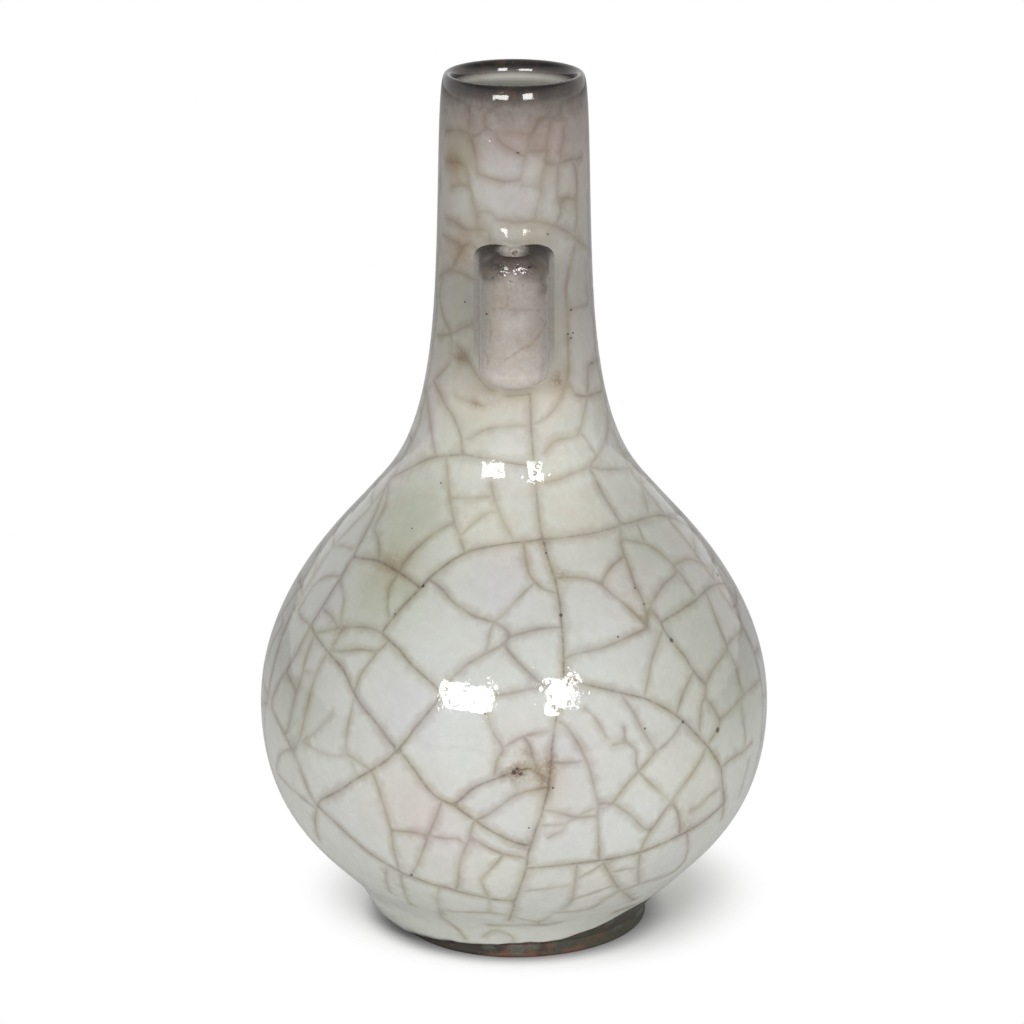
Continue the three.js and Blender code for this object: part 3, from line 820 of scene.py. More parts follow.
@lru_cache(maxsize=1)
def crackled_wall():
    """The wall's outside as one mesh whose edges follow the cracks, before it is parted into
    the thrown sections. Gives the skin, the sheet points, the triangles and the attributes."""
    scene = bpy.context.scene
    wall, glaze = scene.vase_wall, scene.vase_glaze
    skin, lens = Skin(wall), Lens(scene.vase_studio)
    chance = random.Random(glaze.seed + 1)
    last = float(skin.up[-1])
    levels = (wall.belly_height, wall.shoulder_height, wall.height - wall.lip_depth)
    joints = [0.0, *(float(skin.up_at(level)) for level in levels), last]
    sheet, edges = [], []

    def add_line(line):
        start = len(sheet)
        sheet.extend(line)
        edges.extend((start + i, start + i + 1) for i in range(len(line) - 1))

    cracks = []
    for kind, line in all_cracks(skin, glaze, lens):
        inside = (line[:, 1] > 0.004) & (line[:, 1] < joints[3] - 0.02)
        cracks += [(kind, spaced(part, skin, CRACK_STEP)) for part in stretches(line, inside)]
    for _, line in cracks:
        for moved in (line - ROUND, line, line + ROUND):
            for part in stretches(moved, np.abs(moved[:, 0]) < math.pi + OVERLAP):
                add_line(part)
    for up, count in zip(joints, JOINT_POINTS):
        step = 2 * math.pi / count
        extra = int(OVERLAP / step)
        turns = -math.pi + step * np.arange(-extra, count + extra + 1)
        add_line(np.column_stack([turns, np.full(len(turns), up)]))

    def samples(wanted):
        """Close points along the cracks of one kind, the lines' own points among them."""
        parts = np.arange(8)[:, None, None] / 8
        lines = [line for kind, line in cracks if kind == wanted]
        close = [(line[:-1] + parts * np.diff(line, axis=0)).reshape(-1, 2) for line in lines]
        return skin.points(*np.concatenate(close + [line[-1:] for line in lines]).T)

    trees = {kind: tree_of(samples(kind)) for kind in KINDS}
    spots = read_points(IRON_SPOTS)
    far = []
    for _ in range(70):
        turn, up = chance.uniform(1.35, 2 * math.pi - 1.35), chance.uniform(0.2, last * 0.8)
        far.append(((turn + math.pi) % (2 * math.pi) - math.pi, up, chance.uniform(0.25, 0.62) * MM))
    here = np.column_stack([*lens.on_wall(spots[:, :2], skin), spots[:, 2] * IRON_SPAN * MM])
    spots = np.vstack([here, far])
    loose = []
    for turn, up, size in spots:
        local = float(skin.local_radius(up))
        loose.append((turn, up))
        for ring, count in SPOT_RINGS:
            for i in range(count):
                angle, away = 2 * math.pi * (i + ring) / count, ring * size
                loose.append((turn + away * math.cos(angle) / local, up + away * math.sin(angle) / local))
    loose = np.array(loose)
    crowd = [tree_of(skin.points(*loose.T)), *trees.values()]

    def room(places):
        """How far each place is from the cracks and the iron spots."""
        return np.min([nearest(tree, skin.points(*places.T), 9) for tree in crowd], axis=0)

    rows, up = [], 0.0
    while up < last:
        local = float(skin.local_radius(up))
        level = float(np.interp(up, skin.up, skin.height)) / MM
        gap = float(np.interp(level, *GAP_BY_HEIGHT) * MM) if up < joints[3] else 0.8 * MM
        count = int(math.ceil(2 * math.pi * local / gap))
        turns = -math.pi + 2 * math.pi * (np.arange(count) + 0.5 * (len(rows) % 2)) / count
        wobble = 0.12 * gap / local
        rows.append([(t + chance.uniform(-wobble, wobble), up + chance.uniform(-wobble, wobble)) for t in turns])
        up += 0.866 * gap / local
    filler = np.array([spot for row in rows[1:] for spot in row])
    clear = filler[:, 1] < last
    for up in joints:
        room_left = np.abs(filler[:, 1] - up) * skin.local_radius(filler[:, 1])
        clear &= room_left > (0.5 if up else 0.2) * MM
    filler = filler[clear]
    apart = np.where(skin.points(*filler.T)[:, 2] < 9 * MM, 0.35, 0.95) * MM
    filler = filler[room(filler) > apart]

    beside = []
    for _, line in cracks:
        step = np.gradient(line, axis=0)
        step /= np.maximum(np.hypot(*step.T), 1e-9)[:, None]
        across = np.column_stack([-step[:, 1], step[:, 0]]) / skin.local_radius(line[:, 1])[:, None]
        beside.extend(line + BESIDE_CRACK * across)
        beside.extend(line - BESIDE_CRACK * across)
    beside = np.array(beside)
    beside = beside[(beside[:, 1] > 0) & (beside[:, 1] < joints[3])]
    beside = beside[room(beside) > 0.5 * MM]

    def cells(places):
        """The millimetre cell that each place is in."""
        return [tuple(c) for c in np.floor(skin.points(*places.T) / MM).astype(int)]

    taken, kept, steps = set(cells(filler)), [], (-1, 0, 1)
    for spot, (x, y, z) in zip(beside, cells(beside)):
        if not any((x + i, y + j, z + k) in taken for i in steps for j in steps for k in steps):
            taken.add((x, y, z))
            kept.append(spot)
    filler = np.concatenate([filler, np.array(kept).reshape(-1, 2), loose])
    filler[:, 0] = (filler[:, 0] + math.pi) % (2 * math.pi) - math.pi
    sheet.extend(filler)
    sheet.extend(filler[filler[:, 0] > math.pi - OVERLAP] - ROUND)
    sheet.extend(filler[filler[:, 0] < -math.pi + OVERLAP] + ROUND)
    flat, faces = sewn(sheet, edges, last)

    points = skin.points(*flat.T)
    marks = {f"crack_{kind}": nearest(tree, points, 6 * MM) / MM for kind, tree in trees.items()}
    marks["iron"] = speckled(points, skin.points(*spots[:, :2].T), spots[:, 2])
    bare = np.clip(glaze_edge(flat[:, 0]) - points[:, 2] / MM, -4, 4)
    marks["bare"] = np.where(points[:, 2] < 30 * MM, bare, -4)
    marks["rust"] = rust_of(points, skin, lens, chance)
    marks["ash"] = np.where(points[:, 2] < 30 * MM, ash_of(points), 0)
    patches = read_points(PEEL_PATCHES)
    centres = skin.points(*lens.on_wall(patches[:, :2], skin))
    marks["peel"] = soft_spots(points, centres, patches[:, 2] * PIXEL, np.ones(len(patches)))
    run = np.interp(flat[:, 1], skin.up, skin.run)
    marks["thin"] = np.interp(run / MM, [234, 246, 251.5, 253.5], [0, 1, 1, 0])
    marks["tint"] = glaze_tint(points, run, skin, lens, glaze, chance)
    return skin, flat, points, faces, joints, marks


def far_from(points, centre, size):
    """How far each point is from a centre, counted in sizes."""
    return np.linalg.norm(points - centre, axis=1) / size


def speckled(points, centres, sizes):
    """How much of an iron spot each point has."""
    iron = np.zeros(len(points))
    for centre, size in zip(centres, sizes):
        iron = np.maximum(iron, np.clip(1.55 - 0.95 * far_from(points, centre, size), 0, 1))
    return iron


def soft_spots(points, centres, sizes, amounts):
    """How much each point has of round spots that fade outwards."""
    most = np.zeros(len(points))
    for centre, size, amount in zip(centres, sizes, amounts):
        most = np.maximum(most, amount * np.exp(-(far_from(points, centre, size) ** 2)))
    return most


def washed(points, washes, colours, fall):
    """Soft spots of colour laid over one another: how much of them, and their colour."""
    total, mixed = np.zeros(len(points)), np.zeros((len(points), 3))
    for centre, size, name, amount in washes:
        weight = amount * np.exp(-fall * far_from(points, centre, size) ** 2)
        total += weight
        mixed += weight[:, None] * colours[name]
    return np.minimum(total, 1.0), mixed / np.maximum(total, 1e-6)[:, None]


def rust_of(points, skin, lens, chance):
    """How much brown stain each point has."""
    marks = read_points(RUST_MARKS)
    centres = list(skin.points(*lens.on_wall(marks[:, :2], skin)))
    sizes, amounts = list(marks[:, 2] * PIXEL), list(marks[:, 3])
    for _ in range(46):
        turn, up = chance.uniform(1.4, 2 * math.pi - 1.4), chance.uniform(0.1, skin.up[-1] * 0.72)
        centres.append(skin.points(np.array([turn]), np.array([up]))[0])
        sizes.append(chance.uniform(1.2, 3.2) * MM)
        amounts.append(chance.uniform(0.2, 0.7))
    return soft_spots(points, centres, sizes, amounts)


def by_height(heights, colours, height):
    """Colours in steps of height, blended between them."""
    colours = np.array([tuple(c) for c in colours])
    return np.column_stack([np.interp(height, heights, colours[:, i]) for i in range(3)])


def glaze_tint(points, run, skin, lens, glaze, chance):
    """The glaze's colour before cracks, with painted light and shade in it: by its run up the outside and on over the
    lip to the inside, painted lighter or darker by height and towards the sides, and with washes of other colours
    over it."""
    steps = [np.array(getattr(glaze, name)) * level for _, name, level in GLAZE_AND_PAINTED_LIGHT_GRADES]
    tint = by_height([z * MM for z, _, _ in GLAZE_AND_PAINTED_LIGHT_GRADES], steps, run)
    # Painted light and shade towards the sides.
    aside = np.clip(np.abs(np.arctan2(points[:, 0], -points[:, 1])) / PAINTED_SIDE_TURN - 0.8, 0, 1)
    tint *= (1 + aside * np.interp(run / MM, *PAINTED_SIDE_LIGHT))[:, None]
    washes = []
    for name, rows in read_rows(GLAZE_WASHES):
        for centre, (_, _, size, amount) in zip(skin.points(*lens.on_wall(rows[:, :2], skin)), rows):
            washes.append((centre, size * PIXEL, name, amount))
    for _ in range(190):
        turn, up = chance.uniform(1.3, 2 * math.pi - 1.3), chance.uniform(0.0, skin.up[-1] * 0.86)
        centre = skin.points(np.array([turn]), np.array([up]))[0]
        size = chance.uniform(4, 12) * MM
        name = chance.choice(("pearl", "cream", "sea_green", "lilac", "buff", "pearl", "lilac"))
        washes.append((centre, size, name, chance.uniform(0.3, 0.8)))
    colours = {name: np.array(getattr(glaze, name)) / np.array(glaze.body) for _, _, name, _ in washes}
    part, lean = washed(points, washes, colours, 0.7)
    part = (part * np.clip((247 * MM - run) / (16 * MM), 0.0, 1))[:, None]
    return tint * (1 - part + part * lean)


class Shell:
    """Collects the surfaces of one piece, with what each point carries for the shaders."""

    # What a surface without a mark of its own carries, and how a mark is kept.
    away = {"tint": (0.5, 0.5, 0.5), "to_crack": (5.0, 5.0, 5.0), "bare": -4.0}
    kinds = {"tint": ("FLOAT_COLOR", "color"), "to_crack": ("FLOAT_VECTOR", "vector")}

    def __init__(self):
        self.points, self.normals, self.faces, self.stuff, self.marks = [], [], [], [], []
        self.count = 0

    def add(self, points, normals, faces, marks=None, stuff=0):
        self.points.append(points)
        self.normals.append(normals)
        self.faces.extend([tuple(int(i) + self.count for i in face) for face in faces])
        self.stuff.extend([stuff] * len(faces))
        self.marks.append((len(points), marks or {}))
        self.count += len(points)

    def piece(self, name, node, materials):
        mesh = bpy.data.meshes.new(name)
        mesh.from_pydata(np.concatenate(self.points), [], self.faces)
        mesh.validate()
        for material in materials:
            mesh.materials.append(material)
        mesh.polygons.foreach_set("material_index", self.stuff)
        mesh.polygons.foreach_set("use_smooth", [True] * len(mesh.polygons))
        for key in sorted({key for _, marks in self.marks for key in marks}):
            rest = self.away.get(key, 9.0 if key.startswith("crack") else 0.0)
            values = []
            for count, marks in self.marks:
                values.append(marks.get(key, np.tile(rest, (count, 1) if np.ndim(rest) else count)))
            values = np.concatenate(values).astype(float)
            if key == "tint":
                values = np.column_stack([values, np.ones(len(values))])
            kind, field = self.kinds.get(key, ("FLOAT", "value"))
            mesh.attributes.new(key, kind, "POINT").data.foreach_set(field, values.ravel())
        mesh.normals_split_custom_set_from_vertices(np.concatenate(self.normals).tolist())
        thing = bpy.data.objects.new(name, mesh)
        bpy.context.scene.collection.objects.link(thing)
        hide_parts(node)
        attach(thing, "root")
        return thing


def quads(rows, count, rings):
    """The faces between neighbouring rings of points."""
    faces = []
    for row in range(rows):
        above = (row + 1) % rings
        for i in range(count):
            after = (i + 1) % count
            faces.append((row * count + i, row * count + after, above * count + after, above * count + i))
    return faces


def grid_normals(grid, along):
    ring = np.roll(grid, -1, axis=1) - np.roll(grid, 1, axis=1)
    normal = np.cross(ring, along)
    return normal / np.maximum(np.linalg.norm(normal, axis=-1, keepdims=True), 1e-12)


def turned(rows, count, close=False, inward=False):
    """A surface turned round the axis from rows of radius and height, or of one such row for
    each turn. Its normals follow its own grid."""
    turns = -math.pi + 2 * math.pi * np.arange(count) / count
    rows = np.asarray(rows, float)
    if rows.ndim == 2:
        rows = np.repeat(rows[rows[:, 0] > 0.001 * MM, None], count, axis=1)
    grid = np.stack([rows[..., 0] * np.sin(turns), -rows[..., 0] * np.cos(turns), rows[..., 1]], axis=-1)
    points = grid.reshape(-1, 3)
    normals = grid_normals(grid, np.gradient(grid, axis=0)).reshape(-1, 3)
    faces = quads(len(grid) - 1, count, len(grid))
    if close:
        last = (len(grid) - 1) * count
        facing = normals[last:].mean(axis=0)
        points = np.vstack([points, points[last:].mean(axis=0)])
        normals = np.vstack([normals, facing / np.linalg.norm(facing)])
        faces += [(last + i, last + (i + 1) % count, len(points) - 1) for i in range(count)]
    if inward:
        return points, -normals, [face[::-1] for face in faces]
    return points, normals, faces


def in_section(index):
    """The part of the crackled wall from one of its joints to the next."""
    skin, flat, points, faces, joints, marks = crackled_wall()
    middle = flat[faces][:, :, 1].mean(axis=1)
    part = faces[(middle > joints[index]) & (middle < joints[index + 1])]
    used, where = np.unique(part, return_inverse=True)
    normals = skin.facing(flat[used, 0], flat[used, 1])
    points, normals = bent(*swollen(*rolled(points[used], normals)))
    return points, normals, where.reshape(part.shape), {key: values[used] for key, values in marks.items()}


def bent(points, normals):
    """Leans the normals a little on the shoulder and below the lip."""
    height = points[:, 2] / MM
    pooled = np.clip(1 - np.abs(height - POOL_HEIGHT) / POOL_REACH, 0, 1)
    thinned = np.clip((height - THIN_START) / 2.2, 0, 1) * np.clip((THIN_TOP - height) / 2, 0, 1)
    normals[:, 2] += THIN_LEAN * thinned - POOL_LEAN * pooled**2 * (3 - 2 * pooled)
    return points, normals / np.linalg.norm(normals, axis=1, keepdims=True)


def swollen(points, normals):
    """Lifts the glaze a little where it pooled on the neck over each lug."""
    lug = bpy.context.scene.vase_lug
    points, normals = points.copy(), normals.copy()
    for side in (-1, 1):
        across = points[:, 0] / (0.95 * lug.width / 2)
        up = (points[:, 2] - lug.top_height - 1.2 * MM) / lug.pool_reach
        lift = lug.pool_lift * np.exp(-(across**4) - up**2) * (points[:, 1] * side > 0)
        points[:, 1] += side * lift
        normals[:, 2] += lift * 2 * up / lug.pool_reach
        normals[:, 0] += lift * 4 * across**3 / (0.95 * lug.width / 2)
    return points, normals / np.linalg.norm(normals, axis=1, keepdims=True)


def inside_between(low, high):
    """Rows of the inside of the wall between two heights, from the top down."""
    line = inner_line(bpy.context.scene.vase_wall, crackled_wall()[0])
    height = line[:, 1]

    def place_at(level):
        below = int((height < level).argmax())
        part = (height[below - 1] - level) / (height[below - 1] - height[below])
        return line[below - 1] + part * (line[below] - line[below - 1])

    rows = [row for row in line if low < row[1] < high]
    rows.insert(0, place_at(high) if high < height.max() else line[0])
    if low > height.min():
        rows.append(place_at(low))
    rows = np.array(rows)
    steps = np.linalg.norm(np.diff(rows, axis=0), axis=1)
    return rows[np.append(True, steps > 0.001 * MM)]


def glaze_edge(turns):
    """How far above the ground the glaze ends, in millimetres, all the way round."""
    front = [-180, -140, -110, -85, -65, -45, -32, -18, -6, -1, 5, 13, 21, 28, 34, 39, 43, 47, 52, 58]
    edge = [4.7, 4.5, 4.4, 4.3, 4.3, 4.3, 4.2, 4.1, 4.3, 4.7, 5.1, 4.8, 5.3, 6.6, 7.4, 8.7, 10.2, 11.8, 12.8, 13.2]
    edge = np.interp(np.degrees(turns), front + [70, 85, 105, 130, 180], edge + [11.6, 9.0, 6.8, 5.2, 4.7])
    drip = [0.25 * noise.noise(Vector((12 * math.cos(t), 12 * math.sin(t), 2.0))) for t in np.ravel(turns)]
    return np.maximum(edge + np.reshape(drip, edge.shape), 4.1)


def glaze_roll(turns, heights):
    """How far the glaze stands out over its own edge, which is thickest at the front left."""
    wall = bpy.context.scene.vase_wall
    run = [-180, -125, -100, -80, -65, -52, -40, -25, -10]
    thick = np.interp(np.degrees(turns), run, [0.1, 0.35, 0.75, 1.0, 1.0, 0.6, 0.3, 0.1, 0.0])
    thick = wall.glaze_thickness + wall.glaze_bulge * thick
    over = heights - glaze_edge(turns) * MM
    round_edge = 0.7 * thick + 0.4 * MM
    lift = np.sqrt(1 - (1 - np.clip(over / round_edge, 0, 1)) ** 2)
    return thick * lift * np.exp(-((np.maximum(over - round_edge, 0) / (5.5 * MM)) ** 2))


def rolled(points, normals):
    """Gives the glaze its thickness above the bare clay of the foot."""
    points, normals = points.copy(), normals.copy()
    low = np.flatnonzero(points[:, 2] < 28 * MM)
    x, y, z = points[low].T
    turns, radius = np.arctan2(x, -y), np.hypot(x, y)
    lift = glaze_roll(turns, z)
    step = 0.05 * MM
    slope = (glaze_roll(turns, z + step) - glaze_roll(turns, z - step)) / (2 * step)
    points[low, 2] -= 0.85 * undercut(turns) * np.clip((9 * MM - z) / (5 * MM), 0, 1) ** 2
    points[low, 0] *= 1 + lift / radius
    points[low, 1] *= 1 + lift / radius
    normals[low, 2] -= slope * np.hypot(normals[low, 0], normals[low, 1])
    return points, normals / np.linalg.norm(normals, axis=1, keepdims=True)


def undercut(turns):
    """How far the foot ring is cut in under the glaze, which hangs over it at the left."""
    return np.interp(np.degrees(turns), [-125, -100, -50, -28, -5], [0, 2.4, 2.4, 0.9, 0]) * MM


def ash_of(points):
    """Where grey ash glaze runs over the bare foot: share by turn and height."""
    turns = np.degrees(np.arctan2(points[:, 0], -points[:, 1]))
    heights = points[:, 2] / MM
    ash = np.zeros(len(points))
    for turn, wide, height, tall, amount in read_points(ASH_RUNS):
        ash = np.maximum(ash, amount * np.exp(-(((turns - turn) / wide) ** 2) - ((heights - height) / tall) ** 2))
    return ash


def sign(operation, reflected=False):
    """One of Python's own signs as a Math node."""

    def work(self, other):
        values = (other, self) if reflected else (self, other)
        return self.finish.add("ShaderNodeMath", {"operation": operation}, dict(enumerate(values)))

    return work


class Value:
    """A number that varies over a surface. Python's own signs join it to other values."""

    def __init__(self, finish, socket):
        self.finish, self.socket = finish, socket

    __add__, __radd__ = sign("ADD"), sign("ADD", True)
    __sub__, __rsub__ = sign("SUBTRACT"), sign("SUBTRACT", True)
    __mul__, __rmul__ = sign("MULTIPLY"), sign("MULTIPLY", True)
    __truediv__, __rtruediv__ = sign("DIVIDE"), sign("DIVIDE", True)
    least, most = sign("MINIMUM"), sign("MAXIMUM")

    def rising(self, low, high):
        """From 0 at low to 1 at high, eased at both ends."""
        values = {"Value": self, "From Min": low, "From Max": high, "To Min": 0.0, "To Max": 1.0}
        return self.finish.add("ShaderNodeMapRange", {"interpolation_type": "SMOOTHSTEP"}, values)


class Finish:
    """One procedural material, or the world's, with the nodes that make it."""

    def __init__(self, name, world=None):
        self.material = world or bpy.data.materials.new(name)
        self.material.use_nodes = True
        self.tree = self.material.node_tree
        self.tree.nodes.clear()
        self.place = self.add("ShaderNodeTexCoord", out="Object")
        self.in_mm = self.shaded(self.place, 1 / MM)

    def node(self, kind, settings=None, values=None):
        node = self.tree.nodes.new(kind)
        for key, setting in (settings or {}).items():
            setattr(node, key, setting)
        for key, value in (values or {}).items():
            if isinstance(value, Value):
                self.tree.links.new(value.socket, node.inputs[key])
            else:
                node.inputs[key].default_value = value
        return node

    def add(self, kind, settings=None, values=None, out=0):
        return Value(self, self.node(kind, settings, values).outputs[out])

    def vector(self, operation, values, out=0):
        return self.add("ShaderNodeVectorMath", {"operation": operation}, values, out)

    def axis(self, place, name):
        """One coordinate of a place."""
        return self.add("ShaderNodeSeparateXYZ", None, {0: place}, name)

    def carried(self, name, out="Fac"):
        """What the mesh's points carry under a name."""
        return self.add("ShaderNodeAttribute", {"attribute_name": name}, out=out)

    def stretched(self, x, y, z):
        return self.vector("MULTIPLY", {0: self.in_mm, 1: (x, y, z)})

    def cloud(self, size, detail=2.0, rough=0.5, place=None, shift=0.0):
        """Soft noise from 0 to 1 with features of a size in millimetres."""
        place = place or self.in_mm
        if shift:
            place = self.vector("ADD", {0: place, 1: (shift, -shift, 2 * shift)})
        values = {"Vector": place, "Scale": 1 / size, "Detail": detail, "Roughness": rough}
        return self.add("ShaderNodeTexNoise", None, values)

    def spots(self, size, feature="F1", place=None):
        values = {"Vector": place or self.in_mm, "Scale": 1 / size, "Randomness": 1.0}
        return self.add("ShaderNodeTexVoronoi", {"feature": feature}, values, "Distance")

    def blend(self, part, under, over, way="MIX"):
        """Two colours, the second laid over the first by a share."""
        under, over = (c if isinstance(c, Value) else (*c, 1.0) for c in (under, over))
        settings = {"data_type": "RGBA", "blend_type": way, "clamp_factor": True}
        return self.add("ShaderNodeMix", settings, {0: part, 6: under, 7: over}, 2)

    def shaded(self, colour, factor):
        """A colour made lighter or darker by a number."""
        return self.vector("SCALE", {0: colour, "Scale": factor})

    def surface(self, colour, roughness, height):
        bump = self.add("ShaderNodeBump", None, {"Strength": 1.0, "Distance": 1.0, "Height": height * MM})
        values = {"Base Color": colour, "Roughness": roughness, "Normal": bump, "IOR": 1.57}
        shader = self.add("ShaderNodeBsdfPrincipled", None, values)
        self.node("ShaderNodeOutputMaterial", None, {"Surface": shader})
        return self.material


def stained(finish, colour, glaze, fading, wide):
    """Lays the crackle, its stain and the iron spots over a glaze colour. Gives the colour,
    how much of a crack there is, and how much of an iron spot."""
    dark, brown, faint = (finish.carried(f"crack_{kind}") for kind in KINDS)
    wavy = finish.cloud(1.6, 2.0, shift=31.0)
    fine = finish.cloud(0.45, 1.0, shift=7.0)
    strength = finish.cloud(9.0, 1.5, shift=55.0)
    creep = finish.cloud(3.4, 2.0, shift=13.0) * 5.4 + 0.5
    near = dark.least(brown + 0.25).least(faint + 0.7)
    halo = (1 - (near / creep).rising(0.0, 1.0)) * (strength + 0.28)
    yellow = finish.cloud(12.0, 1.0, shift=87.0).rising(0.42, 0.58)
    over_body = {
        name: tuple(np.minimum(np.array(getattr(glaze, name)) / np.array(glaze.body), 1.0))
        for name in ("stain_warm", "stain_yellow", "crack_faint", "crack_brown", "crack_dark")
    }
    crept = finish.blend(yellow, over_body["stain_warm"], over_body["stain_yellow"])
    colour = finish.blend(halo * wide, colour, crept, "MULTIPLY")
    rusty = finish.carried("rust") * finish.cloud(0.9, 2.0, shift=3.0).rising(0.25, 0.6)
    colour = finish.blend(rusty, colour, glaze.rust)

    def line(distance, least, spread, noise_value):
        return 1 - (distance / (noise_value * spread + least)).rising(0.15, 1.25)

    soft = line(dark, 0.25, 1.05, wavy) * (strength * 0.38 + 0.14)
    soft = soft.most(line(brown, 0.2, 0.85, wavy) * (strength * 0.46 + 0.01))
    soft = soft.most(line(faint, 0.2, 0.8, wavy) * (strength.rising(0.3, 0.65) * 0.28 + 0.04))
    colour = finish.blend(soft * fading, colour, over_body["crack_faint"], "MULTIPLY")
    broken = wavy.rising(0.3, 0.65)
    brown_core = line(brown, 0.06, 0.28, fine) * (broken * 0.2 + 0.02) * (strength * 0.9 + 0.3)
    colour = finish.blend(brown_core * fading, colour, over_body["crack_brown"], "MULTIPLY")
    dark_core = line(dark, 0.1, 0.36, fine) * (broken * 0.36 + 0.03) * (strength * 0.5 + 0.75)
    colour = finish.blend(dark_core * fading, colour, over_body["crack_dark"], "MULTIPLY")
    spot = (finish.carried("iron") + (fine - 0.5) * 0.35).rising(0.35, 0.75)
    colour = finish.blend(spot * 0.75, colour, glaze.iron)
    return colour, dark_core.most(brown_core).most(soft * 0.4), spot


def crackle_finish(name, glaze, fading=1.0, wide=1.0, streaks=0.0, foot=False):
    finish = Finish(name)
    tint = finish.carried("tint", "Color")
    broad = finish.cloud(7.0, 3.0)
    soft = finish.cloud(2.1, 3.0, 0.6, shift=19.0)
    grain = finish.cloud(0.45, 2.0, 0.6, shift=43.0)
    lit = broad * 0.16 + soft * 0.12 + grain * 0.07 + 0.825
    colour = finish.shaded(tint, lit)
    colour = finish.blend(soft.rising(0.55, 0.8) * 0.2, colour, finish.shaded(tint, 1.15))
    bubbles = 1 - finish.spots(0.9).rising(0.1, 0.26)
    colour = finish.blend(bubbles * grain.rising(0.5, 0.65) * 0.3, colour, glaze.crack_faint)
    if streaks:
        run = finish.cloud(3.2, 3.0, 0.65, place=finish.stretched(1.0, 1.0, 0.3), shift=5.0)
        colour = finish.shaded(colour, (run - 0.5) * streaks + 1.0)
        blotch = finish.cloud(5.0, 2.0, 0.5, shift=47.0).rising(0.42, 0.6)
        colour = finish.blend(blotch * 0.55, colour, (0.97, 0.93, 0.91), "MULTIPLY")
    colour, crack, spot = stained(finish, colour, glaze, fading, wide)
    if streaks:
        thin = finish.carried("thin")
        beaded = finish.cloud(2.2, 3.0, 0.6, place=finish.stretched(1.0, 1.0, 0.6), shift=61.0)
        colour = finish.shaded(colour, 1 - thin * (0.62 - beaded) * 1.1)
        worn = finish.cloud(5.5, 2.0, 0.6, shift=29.0).rising(0.5, 0.66)
        colour = finish.blend(thin * worn * 0.22, colour, glaze.clay_red)
    roughness = crack * 0.06 + spot * 0.2 + soft * 0.05 + 0.03
    ripple = 0.4 if streaks else 1.0
    height = finish.cloud(6.5, 1.0, shift=71.0) * (0.14 * ripple)
    height = height + finish.cloud(2.9, 1.0, shift=23.0) * (0.06 * ripple)
    dents = (1 - finish.spots(2.3).rising(0.14, 0.42)) * finish.cloud(4.0, 1.0, shift=65.0).rising(0.4, 0.55)
    peel = finish.carried("peel") * (finish.cloud(1.6, 1.0, shift=37.0) * 0.07 - dents * 0.15)
    height = height + peel - crack * 0.008 - spot * 0.12 - bubbles * 0.006
    if foot:
        ragged = finish.carried("bare") + (soft - 0.5) * 0.5
        colour = finish.blend(ragged.rising(-0.55, 0.0) * 0.45, colour, glaze.clay_grey)
        bare = ragged.rising(-0.1, 0.1)
        clay, dull, rough = clay_look(finish, glaze)
        colour = finish.blend(bare, colour, clay)
        roughness = roughness * (1 - bare) + dull * bare
        height = height * (1 - bare) + (rough - 0.3) * bare
    return finish.surface(colour, roughness, height)


def inside_finish_with_painted_shade(name, glaze):
    finish = Finish(name)
    broad = finish.cloud(8.0, 3.0)
    colour = finish.blend(broad.rising(0.4, 0.7) * 0.6, glaze.inside, glaze.sea_green)
    # Painted shade: the inside's glaze is darkened overall, as shade falls inside the vase.
    colour = finish.shaded(colour, broad * 0.3 + 0.17)
    bend = finish.add("ShaderNodeTexNoise", None, {"Vector": finish.in_mm, "Scale": 0.14, "Detail": 2.0}, "Color")
    bent = finish.vector("MULTIPLY_ADD", {0: bend, 1: (6, 6, 6), 2: finish.in_mm})
    edge = finish.spots(11.0, feature="DISTANCE_TO_EDGE", place=bent)
    line = 1 - (edge * 11.0).rising(0.1, 0.5)
    colour = finish.blend(line * 0.5, colour, glaze.crack_brown)
    level = finish.axis(finish.in_mm, "Z")
    # Painted light: the inside is painted lighter towards the mouth.
    thin = (level + finish.cloud(3.0, 2.0, shift=9.0) * 3.0).rising(240.5, 245.5)
    colour = finish.shaded(colour, thin * 0.5 + 1)
    return finish.surface(colour, broad * 0.1 + 0.12, finish.cloud(5.0, 2.0) * 0.05 - line * 0.03)


def clay_look(finish, glaze):
    """Bare stoneware: turned lines, grog and burnt patches. Gives colour, roughness, height."""
    patch = finish.cloud(9.0, 3.0, 0.6, shift=17.0)
    grain = finish.cloud(0.5, 3.0, 0.75)
    lines = finish.cloud(1.0, 3.0, 0.7, place=finish.stretched(0.06, 0.06, 3.2))
    across = finish.axis(finish.in_mm, "X") * 0.008
    colour = finish.blend((patch + across).rising(0.42, 0.58), glaze.clay_dark, glaze.clay_red)
    olive = (finish.cloud(7.0, 2.0, shift=47.0) + across * 1.5 - 0.12).rising(0.5, 0.66)
    colour = finish.blend(olive, colour, glaze.clay_grey)
    colour = finish.shaded(colour, grain * 1.2 + lines * 0.8 - 0.12)
    grog = 1 - finish.spots(1.4).rising(0.12, 0.3)
    colour = finish.blend(grog * grain.rising(0.5, 0.6) * 0.5, colour, glaze.rust)
    ash = (finish.carried("ash") + (grain - 0.5) * 0.8 + (patch - 0.5) * 2.4).rising(0.3, 0.8)
    colour = finish.blend(ash * 0.8, colour, finish.shaded(glaze.clay_ash, lines * 0.7 + grain * 0.9 + 0.1))
    return colour, grain * 0.2 + 0.6 - ash * 0.3, grain * 0.09 + lines * 0.12 - grog * 0.05 + ash * 0.1


def clay_finish(name, glaze):
    finish = Finish(name)
    return finish.surface(*clay_look(finish, glaze))


